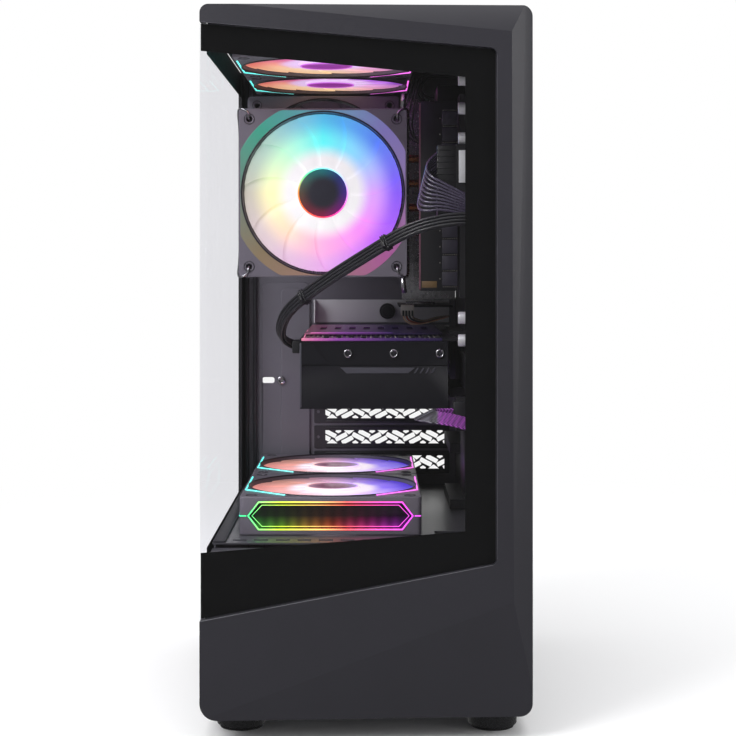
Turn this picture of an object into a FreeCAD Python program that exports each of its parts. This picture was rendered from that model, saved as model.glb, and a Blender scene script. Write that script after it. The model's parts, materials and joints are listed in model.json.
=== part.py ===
import FreeCAD, Part
import math
import os
import re
import Sketcher

# A desktop computer tower with a wrap-round glass front, modelled in millimetres.
# +X is the right side seen from the front, +Y runs to the back and +Z is up.
# The origin is under the middle of the case, on the surface that it stands on.

Vector = FreeCAD.Vector
Rotation = FreeCAD.Rotation
Placement = FreeCAD.Placement

# ---------------------------------------------------------------------------
# Driving sizes
# ---------------------------------------------------------------------------

SIZES = {
    # the case as a whole
    "case_width": 210.0,
    "case_height": 465.0,
    "case_depth": 316.0,
    "sheet": 1.0,               # thickness of every steel sheet
    "panel_gap": 1.0,           # between the right panel and the frame
    "side_gap": 2.0,            # between the side glass and the frame
    "seat_gap": 0.2,            # between two faces that only rest on each other
    "lip": 10.0,                # height of folded edges
    # feet
    "foot_height": 15.0,
    "foot_radius": 16.0,
    "pad_height": 2.0,
    "pad_radius": 14.0,
    "foot_inset": 23.0,
    "front_foot_setback": 45.0,
    "rear_foot_setback": 43.0,
    # plastic bezel
    "bezel_depth": 22.0,
    "bezel_wall": 2.5,
    "corner_top_left": 5.5,
    "corner_top_right": 6.5,
    "corner_low_left": 11.0,
    "corner_low_right": 8.0,
    "top_facet_start": 22.4,    # from the left side to where the top facet starts
    "top_facet_drop": 17.2,     # below the top, at the right end of the top facet
    "top_facet_inset": 14.0,    # from the right side to that end
    "low_facet_inset": 12.7,    # from the right side to the lower facet's upper end
    "low_facet_rise": 74.8,     # above the bezel's lower edge, at that end
    "low_facet_start": 12.3,    # from the left side to where the lower facet starts
    "low_facet_lift": 4.6,      # above the bezel's lower edge, at that start
    "side_facet_fall": 9.0,     # how far the right facet falls back at the side
    "low_facet_fall": 10.8,     # how far the lower facet falls back at its corner
    # window in the bezel and the glass in it
    "window_top_left": 11.0,    # from the top down to the window, at the left
    "window_top_right": 27.8,   # the same at the right
    "window_right": 23.1,       # from the right side to the window
    "window_low_right": 98.2,   # from the bezel's lower edge up to the window, right
    "window_low_left": 62.3,    # the same at the left
    "window_radius": 5.0,
    "ledge_width": 4.0,
    "ledge_thick": 2.8,
    "glass_thickness": 4.0,
    "glass_setback": 0.5,
    "glass_clearance": 0.5,
    # rear panel, its posts and thumbscrews
    "screw_head": 8.0,
    "screw_radius": 5.5,
    "screw_shank": 1.75,
    "screw_length": 7.0,
    "screw_hole": 2.2,
    "post_depth": 9.8,
    "post_width": 12.0,
    "screw_inset": 6.0,
    "screw_from_top": 35.0,
    "left_screw_low": 110.0,
    "right_screw_low": 60.0,
    # inner levels
    "shroud_height": 108.0,     # from the base sheet's underside to the shroud's top
    "roof_drop": 3.6,           # from the bezel's top to the roof sheet's underside
    "cable_space": 23.0,        # between the board tray and the right panel
    # main board
    "standoff": 6.4,
    "board_thick": 1.6,
    "board_height": 304.8,
    "board_width": 244.0,
    "board_lift": 7.7,
    "board_gap": 1.0,
    "slot_pitch": 20.32,
    "first_slot_drop": 172.0,   # from the board's top to the first slot's centre
    "card_rise": 6.0,           # from a slot's centre to its card's plane
    "memory_length": 133.35,
    "memory_height": 31.3,
    "memory_drop": 19.4,
    "memory_pitch": 9.5,
    "memory_setback": 75.0,     # from the board's front edge to the first socket
    "connector_height": 12.0,
    # 120 mm fans
    "fan_size": 120.0,
    "fan_depth": 25.0,
    "fan_bore": 115.0,
    "fan_hub": 38.0,
    "fan_holes": 105.0,
    "fan_hole": 4.3,
    "hub_seat": 3.5,
    "rotor_gap": 0.7,
    "blade_tip_gap": 2.0,
    "blade_chord": 15.0,
    "blade_thick": 1.6,
    "fan_seat": 0.4,            # rubber corners under a standing fan
    "top_fans_x": -28.0,
    "top_fans_y": 0.0,
    "low_fans_x": -24.0,
    "low_fans_y": 13.0,
    "rear_fan_x": -35.0,
    "rear_fan_gap": 1.8,        # between the roof fans' open faces and the rear fan
    # processor cooler
    "cooler_setback": 108.9,    # from the board's rear edge to the cooler's middle
    "cooler_drop": 83.2,
    "cooler_reach": 162.5,
    "cooler_depth": 45.0,
    "cooler_width": 120.0,
    "fin_count": 40.0,
    "fin_thick": 0.5,
    "pipe_radius": 3.0,
    "pipe_clearance": 0.05,
    "cooler_fan_reach": 102.5,
    "clip_wire": 0.8,
    # graphics card
    "card_height": 49.8,
    "card_width": 102.3,
    "card_length": 191.0,
    "card_from_board": 15.1,
    "card_wall": 1.6,
    "card_fan_radius": 41.0,
    "card_fan_depth": 12.0,
    # power supply
    "supply_width": 150.0,
    "supply_height": 86.0,
    "supply_length": 140.0,
    "supply_lift": 1.0,
    "inlet_width": 27.0,
    "inlet_height": 20.0,
    "inlet_depth": 20.0,
    "inlet_wall": 1.5,
    "rocker_width": 13.0,
    "rocker_height": 19.0,
    # ports and button on the roof
    "strip_width": 15.0,
    "strip_length": 98.0,
    "strip_setback": 8.0,
    "strip_inset": 2.5,
    "strip_top": 0.8,
    "strip_depth": 8.0,
    "button_radius": 6.0,
    "button_clearance": 0.25,
    "jack_bore": 3.6,
    "jack_barrel": 7.0,
    "jack_length": 12.0,
    # dust filters
    "filter_thick": 1.8,
    "filter_border": 6.0,
    "roof_filter_width": 164.0,
    "roof_filter_length": 252.0,
    "low_filter_width": 120.0,
    "low_filter_length": 170.0,
    # cables
    "wire_bundle": 5.0,         # radius of the graphics card's lead
    "usb_lead": 3.2,
    "board_lead": 4.0,
    "ribbon_thick": 6.0,
    "ribbon_width": 50.0,
}

doc = FreeCAD.newDocument("computer_tower")
sheet = doc.addObject("Spreadsheet::Sheet", "sizes")
pieces = []


def fill_sheet():
    """Write every driving size into the sheet as plain text with its alias."""
    for row, (alias, value) in enumerate(SIZES.items(), start=1):
        sheet.set(f"A{row}", alias)
        sheet.set(f"B{row}", str(value))
        sheet.setAlias(f"B{row}", alias)
    doc.recompute()


def size(alias):
    """Read one driving size back from the sheet."""
    return float(sheet.get(alias))


def bound(expression):
    """Turn each size name in an expression into a reference to the sheet."""
    def refer(word):
        name = word.group()
        return "sizes." + name if name in SIZES else name
    return re.sub(r"[a-z][a-z_]+", refer, str(expression))


def value(expression):
    """Work out an expression of driving sizes as a number, for shapes made in code."""
    holder = doc.addObject("App::FeaturePython", "value")
    holder.addProperty("App::PropertyFloat", "Result")
    holder.setExpression("Result", bound(expression))
    holder.recompute()
    result = float(holder.Result)
    doc.removeObject(holder.Name)
    return result


# ---------------------------------------------------------------------------
# Places worked out from the driving sizes
# ---------------------------------------------------------------------------

LEFT = "(-case_width/2)"
RIGHT = "(case_width/2)"
FRONT = "(-case_depth/2)"
BACK = "(case_depth/2)"
BASE = "foot_height"
SHELL_LEFT = f"({LEFT} + glass_thickness + side_gap)"
SHELL_RIGHT = f"({RIGHT} - sheet - panel_gap)"
SHELL_FRONT = f"({FRONT} + bezel_depth)"
FRAME_BACK = f"({SHELL_FRONT} + sheet)"
FLANGE = f"({BACK} - screw_head - sheet)"
POST_BACK = f"({FLANGE} - seat_gap)"
REAR = f"({POST_BACK} - post_depth)"
FLOOR = f"({BASE} + sheet)"
DECK = f"({BASE} + shroud_height)"
ROOF = "(case_height - roof_drop)"
TRAY = f"({SHELL_RIGHT} - cable_space)"
BOARD = f"({TRAY} - sheet - standoff - board_thick)"
BOARD_LOW = f"({DECK} + board_lift)"
BOARD_HIGH = f"({BOARD_LOW} + board_height)"
BOARD_BACK = f"({REAR} - board_gap)"
BOARD_FRONT = f"({BOARD_BACK} - board_width)"
FIRST_SLOT = f"({BOARD_HIGH} - first_slot_drop)"
COOLER_Z = f"({BOARD_HIGH} - cooler_drop)"
COOLER_Y = f"({BOARD_BACK} - cooler_setback)"
COOLER_FACE = f"({COOLER_Y} - cooler_depth/2)"
COOLER_LEFT = f"({BOARD} - cooler_reach)"
COOLER_FAN_X = f"({BOARD} - cooler_fan_reach)"
REAR_FAN_Z = f"({ROOF} - fan_depth - rear_fan_gap - fan_size/2)"
CARD_RIGHT = f"({BOARD} - card_from_board)"
CARD_LEFT = f"({CARD_RIGHT} - card_width)"
CARD_PLANE = f"({FIRST_SLOT} - slot_pitch + card_rise)"
CARD_BACK = f"({REAR} - sheet - board_gap)"
CARD_FRONT = f"({CARD_BACK} - card_length)"
SUPPLY_LOW = f"({FLOOR} + supply_lift)"
STRIP_X = f"({SHELL_RIGHT} - strip_inset - strip_width/2)"
STRIP_FRONT = f"({FRAME_BACK} + strip_setback)"
LOW_GLASS = f"({BASE} + window_low_left + glass_clearance)"
HIGH_GLASS = "(case_height - window_top_left - glass_clearance)"


# ---------------------------------------------------------------------------
# Building blocks
# ---------------------------------------------------------------------------

TURNS = {
    "x": Rotation(Vector(0, 1, 0), 90),
    "y": Rotation(Vector(1, 0, 0), -90),
    "z": Rotation(),
}


def place(item, x, y, z, rotation=None):
    """Put an item at a point whose three values follow the sheet."""
    if rotation is not None:
        item.Placement = Placement(Vector(), rotation)
    for name, expression in (("x", x), ("y", y), ("z", z)):
        item.setExpression(f"Placement.Base.{name}", bound(expression))
    return item


def block(x, y, z):
    """A box between a low and a high place along each axis."""
    box = doc.addObject("Part::Box", "block")
    for length, (low, high) in (("Length", x), ("Width", y), ("Height", z)):
        box.setExpression(length, bound(f"({high}) - ({low})"))
    return place(box, x[0], y[0], z[0])


def rod(axis, x, y, z, radius, length):
    """A cylinder that starts at a point and runs along one axis."""
    cylinder = doc.addObject("Part::Cylinder", "rod")
    cylinder.setExpression("Radius", bound(radius))
    cylinder.setExpression("Height", bound(length))
    return place(cylinder, x, y, z, TURNS[axis])


def fuse(items):
    """Join overlapping or touching solids into one."""
    joined = doc.addObject("Part::MultiFuse", "fuse")
    joined.Shapes = list(items)
    return joined


def group(items):
    """Keep separate solids together as one piece."""
    kept = doc.addObject("Part::Compound", "group")
    kept.Links = list(items)
    return kept


def cut(base, tools):
    """Take tools away from a base."""
    result = doc.addObject("Part::Cut", "cut")
    result.Base = base
    result.Tool = tools[0] if len(tools) == 1 else fuse(tools)
    return result


def piece(name, item):
    """Name a finished sub-part and remember it for writing out."""
    item.Label = name
    pieces.append(item)
    return item


def outline(body, role, points, name="outline"):
    """A closed sketch of straight lines whose corners follow the sheet."""
    sketch = body.newObject("Sketcher::SketchObject", name)
    plane = [item for item in body.Origin.OriginFeatures if item.Role == role][0]
    sketch.AttachmentSupport = [(plane, "")]
    sketch.MapMode = "FlatFace"
    corners = [Vector(value(across), value(up), 0) for across, up in points]
    count = len(corners)
    for index in range(count):
        line = Part.LineSegment(corners[index], corners[(index + 1) % count])
        sketch.addGeometry(line, False)
    for index in range(count):
        join = Sketcher.Constraint("Coincident", index, 2, (index + 1) % count, 1)
        sketch.addConstraint(join)
    for index, (across, up) in enumerate(points):
        for kind, expression, number in (
            ("DistanceX", across, corners[index].x),
            ("DistanceY", up, corners[index].y),
        ):
            held = Sketcher.Constraint(kind, -1, 1, index, 1, number)
            place_in_list = sketch.addConstraint(held)
            sketch.setExpression(f"Constraints[{place_in_list}]", bound(expression))
    return sketch


def padded(name, role, points, low, high):
    """A body padded from an outline, between two places along its plane's axis."""
    body = doc.addObject("PartDesign::Body", name)
    sketch = outline(body, role, points)
    pad = body.newObject("PartDesign::Pad", "pad")
    pad.Profile = sketch
    pad.setExpression("Length", bound(f"({high}) - ({low})"))
    pad.Reversed = role == "XZ_Plane"
    axis = {"XY_Plane": "z", "XZ_Plane": "y", "YZ_Plane": "x"}[role]
    body.setExpression(f"Placement.Base.{axis}", bound(low))
    return body


def rectangle(across, up):
    """Corner list of a rectangle between two places each way."""
    return [(across[0], up[0]), (across[1], up[0]), (across[1], up[1]), (across[0], up[1])]


def row_of(count, pitch, start):
    """Places at an even pitch, as expressions."""
    return [f"({start} + {index}*({pitch}))" for index in range(count)]


# ---------------------------------------------------------------------------
# Steel frame
# ---------------------------------------------------------------------------

BASE_VENTS = 10
BASE_VENT_PITCH = 12.0
BASE_VENT_WIDTH = 7.0


def make_base_tray():
    """The floor, with folded edges and vents under the power supply."""
    floor = block((SHELL_LEFT, SHELL_RIGHT), (FRAME_BACK, REAR), (BASE, FLOOR))
    left_lip = block(
        (SHELL_LEFT, f"{SHELL_LEFT} + sheet"), (FRAME_BACK, REAR), (BASE, f"{FLOOR} + lip")
    )
    right_lip = block(
        (f"{SHELL_RIGHT} - sheet", SHELL_RIGHT), (FRAME_BACK, REAR), (BASE, f"{FLOOR} + lip")
    )
    first = f"{REAR} - supply_length/2 - {BASE_VENT_PITCH * (BASE_VENTS - 1) / 2}"
    vents = []
    for middle in row_of(BASE_VENTS, BASE_VENT_PITCH, first):
        ends = (f"{middle} - {BASE_VENT_WIDTH / 2}", f"{middle} + {BASE_VENT_WIDTH / 2}")
        across = ("-supply_width/2 + lip", "supply_width/2 - lip")
        vents.append(block(across, ends, (f"{BASE} - 1", f"{FLOOR} + 1")))
    rails = []
    low = f"{BASE} - 0.3 - filter_thick - 0.3"
    reach = "low_filter_width/2 + 0.3"
    for side in (-1, 1):
        edge = f"{side}*({reach})"
        thick = (edge, f"{edge} + {side}*2")
        lip = (f"{edge} - {side}*3", f"{edge} + {side}*2")
        along = (f"{REAR} - low_filter_length", REAR)
        rails.append(block(thick[::side], along, (low, BASE)))
        rails.append(block(lip[::side], along, (f"{low} - 1", low)))
    piece("base_tray", cut(fuse([floor, left_lip, right_lip] + rails), vents))


def make_front_frame():
    """The C-shaped steel sheet that carries the bezel, open to the left."""
    outer = block((SHELL_LEFT, SHELL_RIGHT), (SHELL_FRONT, FRAME_BACK), (BASE, ROOF))
    opening = block(
        (f"{SHELL_LEFT} - 1", f"{TRAY} - 2"),
        (f"{SHELL_FRONT} - 1", f"{FRAME_BACK} + 1"),
        (f"{DECK} - 23", f"{ROOF} - 21.4"),
    )
    piece("front_frame", cut(outer, [opening]))


GUARD_RINGS = (13.0, 27.0, 41.0)
GUARD_GAP = 11.0
GUARD_BAR = 4.0
SLOT_COUNT = 7
SLOT_OPENING = 13.0
SLOT_LEFT = 105.0
SLOT_RIGHT = 8.3
SHIELD_WIDTH = 44.4
SHIELD_HEIGHT = 158.7
SHIELD_DROP = 2.5
SHIELD_RIGHT = 3.0
OVAL_HOLE = 4.8
OVAL_LENGTH = 9.7
OVAL_X = f"({SHELL_LEFT} + 19)"
OVAL_Z = f"({FIRST_SLOT} - 55.8)"


def ring_gaps():
    """Ring-shaped gaps of the guard in front of the rear fan."""
    start = (f"{REAR} - 1", f"{REAR} + sheet + 1")
    tools = []
    for radius in GUARD_RINGS:
        outer = rod("y", "rear_fan_x", start[0], REAR_FAN_Z, radius + GUARD_GAP, "sheet + 2")
        inner = rod("y", "rear_fan_x", start[0], REAR_FAN_Z, radius, "sheet + 2")
        tools.append(cut(outer, [inner]))
    upright = block(
        (f"rear_fan_x - {GUARD_BAR / 2}", f"rear_fan_x + {GUARD_BAR / 2}"),
        start,
        (f"{REAR_FAN_Z} - fan_size/2", f"{REAR_FAN_Z} + fan_size/2"),
    )
    level = block(
        ("rear_fan_x - fan_size/2", "rear_fan_x + fan_size/2"),
        start,
        (f"{REAR_FAN_Z} - {GUARD_BAR / 2}", f"{REAR_FAN_Z} + {GUARD_BAR / 2}"),
    )
    return cut(group(tools), [fuse([upright, level])])


def thumbscrew_places():
    """Middles of the four thumbscrews: two at the left, then two at the right."""
    high = f"({ROOF} - screw_from_top)"
    left = f"({SHELL_LEFT} + screw_inset)"
    right = f"({SHELL_RIGHT} - screw_inset)"
    return [(left, high), (left, "left_screw_low"), (right, high), (right, "right_screw_low")]


def make_rear_panel():
    """The recessed rear sheet, with posts at both sides for the thumbscrews."""
    top = f"{ROOF} + sheet"
    plate = block((SHELL_LEFT, SHELL_RIGHT), (REAR, f"{REAR} + sheet"), (BASE, top))
    solids = [plate]
    for outer, inner in (
        (SHELL_LEFT, f"({SHELL_LEFT} + post_width)"),
        (f"({SHELL_RIGHT} - post_width)", SHELL_RIGHT),
    ):
        solids.append(block((outer, inner), (f"{POST_BACK} - sheet", POST_BACK), (BASE, top)))
    for web in (f"{SHELL_LEFT} + post_width - sheet", f"{SHELL_RIGHT} - post_width"):
        solids.append(block((web, f"{web} + sheet"), (REAR, POST_BACK), (BASE, top)))
    through = (f"{REAR} - 1", f"{REAR} + sheet + 1")
    tools = [ring_gaps()]
    tools.append(block(
        ("-supply_width/2 + 4", "supply_width/2 - 4"), through,
        (f"{SUPPLY_LOW} + 4", f"{SUPPLY_LOW} + supply_height - 4"),
    ))
    shield_top = f"{BOARD_HIGH} - {SHIELD_DROP}"
    tools.append(block(
        (f"{BOARD} + {SHIELD_RIGHT} - {SHIELD_WIDTH}", f"{BOARD} + {SHIELD_RIGHT}"), through,
        (f"{shield_top} - {SHIELD_HEIGHT}", shield_top),
    ))
    for middle in row_of(SLOT_COUNT, "-slot_pitch", FIRST_SLOT):
        tools.append(block(
            (f"{BOARD} - {SLOT_LEFT}", f"{BOARD} - {SLOT_RIGHT}"), through,
            (f"{middle} - {SLOT_OPENING / 2}", f"{middle} + {SLOT_OPENING / 2}"),
        ))
    tools.append(block(
        (f"{OVAL_X} - {OVAL_LENGTH / 2}", f"{OVAL_X} + {OVAL_LENGTH / 2}"), through,
        (f"{OVAL_Z} - {OVAL_HOLE / 2}", f"{OVAL_Z} + {OVAL_HOLE / 2}"),
    ))
    for across, up in thumbscrew_places():
        tools.append(rod("y", across, f"{POST_BACK} - sheet - 1", up, "screw_hole", "sheet + 2"))
    piece("rear_panel", cut(fuse(solids), tools))


GROMMET_RIM = 2.0
GROMMET_LAP = 1.0
GROMMET_GAP = 1.0
CABLE_HOLES = ((29.3, 75.3), (183.3, 255.3))
TOP_HOLE_REACH = (78.0, 28.0)
TOP_HOLE_LOW = 3.5
TOP_HOLE_DROP = 5.4


def cable_hole_middle():
    """Place along the depth of the cable holes, between the frame and the board."""
    return f"(({FRAME_BACK} + {GROMMET_GAP} + {BOARD_FRONT})/2)"


def cable_hole(low, high, inset):
    """Ends along the depth and the height of a hole in front of the board."""
    along = (f"{FRAME_BACK} + {GROMMET_GAP + inset}", f"{BOARD_FRONT} - {inset}")
    return along, (f"{BOARD_LOW} + {low - GROMMET_RIM + inset}",
                   f"{BOARD_LOW} + {high + GROMMET_RIM - inset}")


def make_motherboard_tray():
    """The upright sheet behind the board, with standoffs and cable holes."""
    plate = block((f"{TRAY} - sheet", TRAY), (FRAME_BACK, REAR), (DECK, ROOF))
    solids = [plate]
    for along in (6.0, 128.0, 236.0):
        for up in (6.0, 155.0, 298.0):
            solids.append(rod(
                "x", f"{TRAY} - sheet - standoff", f"{BOARD_FRONT} + {along}",
                f"{BOARD_LOW} + {up}", 3.0, "standoff",
            ))
    through = (f"{TRAY} - sheet - 1", f"{TRAY} + 1")
    tools = [block(
        through, (f"{COOLER_Y} - 38", f"{COOLER_Y} + 38"), (f"{COOLER_Z} - 42", f"{COOLER_Z} + 42")
    )]
    for low, high in CABLE_HOLES:
        tools.append(block(through, *cable_hole(low, high, GROMMET_RIM)))
    front, rear = TOP_HOLE_REACH
    tools.append(block(through, (f"{BOARD_BACK} - {front}", f"{BOARD_BACK} - {rear}"),
                       (f"{BOARD_HIGH} - {TOP_HOLE_LOW}", f"{ROOF} - {TOP_HOLE_DROP}")))
    piece("motherboard_tray", cut(fuse(solids), tools))


def make_grommets():
    """Rubber rims round the cable holes."""
    rims = []
    for low, high in CABLE_HOLES:
        rim = block((f"{TRAY} - sheet - 2", f"{TRAY} - sheet"), *cable_hole(low, high, 0))
        hole = block((f"{TRAY} - sheet - 3", f"{TRAY} - sheet + 1"),
                     *cable_hole(low, high, GROMMET_RIM + GROMMET_LAP))
        rims.append(cut(rim, [hole]))
    piece("grommets", group(rims))


def fan_pair(middle):
    """Middles of two fans that stand side by side along the depth."""
    return (f"({middle} - fan_size/2)", f"({middle} + fan_size/2)")


def make_top_frame():
    """The roof sheet, with folded edges, fan openings and a port cut-out."""
    roof = block((SHELL_LEFT, SHELL_RIGHT), (FRAME_BACK, REAR), (ROOF, f"{ROOF} + sheet"))
    left_lip = block(
        (SHELL_LEFT, f"{SHELL_LEFT} + sheet"), (FRAME_BACK, REAR), (f"{ROOF} - lip", ROOF)
    )
    right_lip = block(
        (f"{SHELL_RIGHT} - sheet", SHELL_RIGHT), (FRAME_BACK, REAR), (f"{ROOF} - lip", ROOF)
    )
    tools = []
    for middle in fan_pair("top_fans_y"):
        tools.append(rod("z", "top_fans_x", middle, f"{ROOF} - 1", "fan_bore/2 - 2", "sheet + 2"))
    tools.append(block(
        (f"{STRIP_X} - strip_width/2", f"{STRIP_X} + strip_width/2"),
        (STRIP_FRONT, f"{STRIP_FRONT} + strip_length"),
        (f"{ROOF} - 1", f"{ROOF} + sheet + 1"),
    ))
    piece("top_frame", cut(fuse([roof, left_lip, right_lip]), tools))


DECK_SLOTS = 9
DECK_SLOT_PITCH = 14.0


def make_psu_shroud():
    """The cover over the power supply: a deck with a wall at the left."""
    deck = block((SHELL_LEFT, TRAY), (FRAME_BACK, REAR), (f"{DECK} - sheet", DECK))
    wall = block(
        (f"{SHELL_LEFT} + sheet", f"{SHELL_LEFT} + 2*sheet"), (FRAME_BACK, REAR),
        (FLOOR, f"{DECK} - sheet"),
    )
    through = (f"{DECK} - sheet - 1", f"{DECK} + 1")
    tools = []
    for middle in fan_pair("low_fans_y"):
        tools.append(rod("z", "low_fans_x", middle, through[0], "fan_bore/2 - 2", "sheet + 2"))
    first = f"{SHELL_LEFT} + 12"
    for start in row_of(DECK_SLOTS, DECK_SLOT_PITCH, first):
        tools.append(block((start, f"{start} + 9"), (f"{FRAME_BACK} + 8", f"{FRAME_BACK} + 13"),
                           through))
    tools.append(block(("45", f"{TRAY} - 8"), (f"{FRAME_BACK} + 18", f"{FRAME_BACK} + 46"),
                       through))
    piece("psu_shroud", cut(fuse([deck, wall]), tools))


LOWER_VENTS = 18
LOWER_VENT_PITCH = 12.0


def make_left_lower_panel():
    """The vented steel skirt under the side glass, folded in at both edges."""
    top = f"({LOW_GLASS} - panel_gap)"
    low = f"({BASE} + panel_gap)"
    ends = (f"{SHELL_FRONT} + panel_gap", POST_BACK)
    skin = block((LEFT, f"{LEFT} + sheet"), ends, (low, top))
    high_fold = block((LEFT, SHELL_LEFT), ends, (f"{top} - sheet", top))
    low_fold = block((LEFT, SHELL_LEFT), ends, (low, f"{low} + sheet"))
    vents = []
    for start in row_of(LOWER_VENTS, LOWER_VENT_PITCH, f"{SHELL_FRONT} + 35"):
        vents.append(block((f"{LEFT} - 1", f"{LEFT} + sheet + 1"), (start, f"{start} + 6"),
                           (f"{low} + 14", f"{top} - 14")))
    piece("left_lower_panel", cut(fuse([skin, high_fold, low_fold]), vents))


def foot_places():
    """Middles of the four feet."""
    front = f"({FRONT} + front_foot_setback)"
    rear = f"({BACK} - rear_foot_setback)"
    left = f"({LEFT} + foot_inset)"
    right = f"({RIGHT} - foot_inset)"
    return [(left, front), (right, front), (left, rear), (right, rear)]


def make_feet():
    """Four plastic feet, and the rubber pads under them."""
    feet = []
    pads = []
    for across, along in foot_places():
        feet.append(rod("z", across, along, "pad_height", "foot_radius",
                        f"{BASE} - pad_height"))
        pads.append(rod("z", across, along, 0, "pad_radius", "pad_height"))
    piece("feet", group(feet))
    piece("foot_pads", group(pads))


# ---------------------------------------------------------------------------
# Bezel, glass and side panels
# ---------------------------------------------------------------------------

def in_front_of(first, second, third):
    """A large solid on the front side of the plane through three points."""
    along = (second - first).normalize()
    normal = along.cross(third - first).normalize()
    if normal.y > 0:
        normal = -normal
    across = normal.cross(along)
    reach = 2 * size("case_height")
    corners = []
    for one, two in ((-1, -1), (1, -1), (1, 1), (-1, 1), (-1, -1)):
        corners.append(first + along * (one * reach) + across * (two * reach))
    return Part.Face(Part.makePolygon(corners)).extrude(normal * reach)


def faceted_block(inset):
    """The bezel's outer shape, drawn in by a wall on all sides but the back."""
    half = size("case_width") / 2
    high = size("case_height")
    low = size("foot_height")
    front = -size("case_depth") / 2
    back = front + size("bezel_depth")
    solid = Part.makeBox(
        2 * (half - inset), back - front, high - low - 2 * inset,
        Vector(inset - half, front + inset, low + inset),
    )
    corners = {
        (-1, 1): "corner_top_left", (1, 1): "corner_top_right",
        (-1, -1): "corner_low_left", (1, -1): "corner_low_right",
    }
    middle = (high + low) / 2
    for (side, end), radius in corners.items():
        for edge in solid.Edges:
            spot = edge.CenterOfMass
            runs_back = abs(edge.tangentAt(edge.FirstParameter).y) > 0.9
            at_side = spot.x * side > half - inset - 0.01
            at_end = (spot.z - middle) * end > (high - low) / 2 - inset - 0.01
            if runs_back and at_side and at_end:
                solid = solid.makeFillet(size(radius) - inset, [edge])
                break
    face = front + inset
    start = Vector(-half + size("top_facet_start"), face, high)
    ridge_high = Vector(half - size("top_facet_inset"), face, high - size("top_facet_drop"))
    ridge_low = Vector(half - size("low_facet_inset"), face, low + size("low_facet_rise"))
    low_start = Vector(-half + size("low_facet_start"), face, low + size("low_facet_lift"))
    side_point = Vector(half, face + size("side_facet_fall"), middle)
    low_point = Vector(half, face + size("low_facet_fall"), low)
    ridge_reach = (half - 4.6 - ridge_high.x) / size("top_facet_inset")
    top_point = Vector(half - 4.6, face + size("side_facet_fall") * ridge_reach, high)
    solid = solid.cut(in_front_of(ridge_high, ridge_low, side_point))
    solid = solid.cut(in_front_of(start, ridge_high, top_point))
    return solid.cut(in_front_of(low_start, ridge_low, low_point))


def window_prism(grow, first, last, left_reach):
    """The slanted window's outline between two depths, grown or drawn in all round."""
    half = size("case_width") / 2
    high = size("case_height")
    low = size("foot_height")
    left = -half
    right = half - size("window_right")
    top_slope = (size("window_top_left") - size("window_top_right")) / (right - left)
    low_slope = (size("window_low_right") - size("window_low_left")) / (right - left)
    top_start = high - size("window_top_left") + grow
    low_start = low + size("window_low_left") - grow
    across = right + grow - left
    corners = [
        Vector(left - left_reach, first, top_start - top_slope * left_reach),
        Vector(right + grow, first, top_start + top_slope * across),
        Vector(right + grow, first, low_start + low_slope * across),
        Vector(left - left_reach, first, low_start - low_slope * left_reach),
    ]
    face = Part.Face(Part.makePolygon(corners + [corners[0]]))
    solid = face.extrude(Vector(0, last - first, 0))
    rounded = [
        edge for edge in solid.Edges
        if edge.CenterOfMass.x > right + grow - 0.01 and abs(edge.tangentAt(0).y) > 0.9
    ]
    return solid.makeFillet(size("window_radius") + grow, rounded)


def make_front_bezel():
    """The faceted plastic front: a shell with a window and a ledge for the glass."""
    wall = size("bezel_wall")
    front = -size("case_depth") / 2
    ledge_face = front + size("glass_setback") + size("glass_thickness") + size("seat_gap")
    ledge_back = ledge_face + size("ledge_thick")
    outer = faceted_block(0)
    shell = outer.cut(faceted_block(wall))
    rim = window_prism(wall, front + wall / 2, ledge_back, 0)
    body = shell.fuse(rim)
    body = body.cut(window_prism(0, front - 5, ledge_face, 5))
    body = body.cut(window_prism(-size("ledge_width"), front - 5, ledge_back + 5, 5))
    side = size("glass_thickness") + size("glass_clearance")
    low = value(LOW_GLASS) - size("glass_clearance")
    high = value(HIGH_GLASS) + size("glass_clearance")
    body = body.cut(Part.makeBox(
        side + 5, size("bezel_depth") + 5, high - low,
        Vector(value(LEFT) - 5, ledge_face - size("seat_gap"), low),
    ))
    bezel = doc.addObject("Part::Feature", "bezel")
    bezel.Shape = body.common(outer).removeSplitter()
    piece("front_bezel", bezel)


def make_front_glass():
    """The slanted pane that fills the window and reaches the left side."""
    top = "case_height - glass_clearance"
    right = f"{RIGHT} - window_right - glass_clearance"
    points = [
        (LEFT, LOW_GLASS),
        (right, f"{BASE} + window_low_right + glass_clearance"),
        (right, f"{top} - window_top_right"),
        (LEFT, HIGH_GLASS),
    ]
    face = f"{FRONT} + glass_setback"
    body = padded("front_glass", "XZ_Plane", points, face, f"{face} + glass_thickness")
    doc.recompute()
    pad = body.Tip
    limit = value(right) - 0.01
    names = [
        f"Edge{index}" for index, edge in enumerate(pad.Shape.Edges, start=1)
        if edge.CenterOfMass.x > limit and edge.BoundBox.ZLength < 0.01
    ]
    fillet = body.newObject("PartDesign::Fillet", "corners")
    fillet.Base = (pad, names)
    fillet.setExpression("Radius", bound("window_radius - glass_clearance"))
    piece("front_glass", body)


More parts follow.
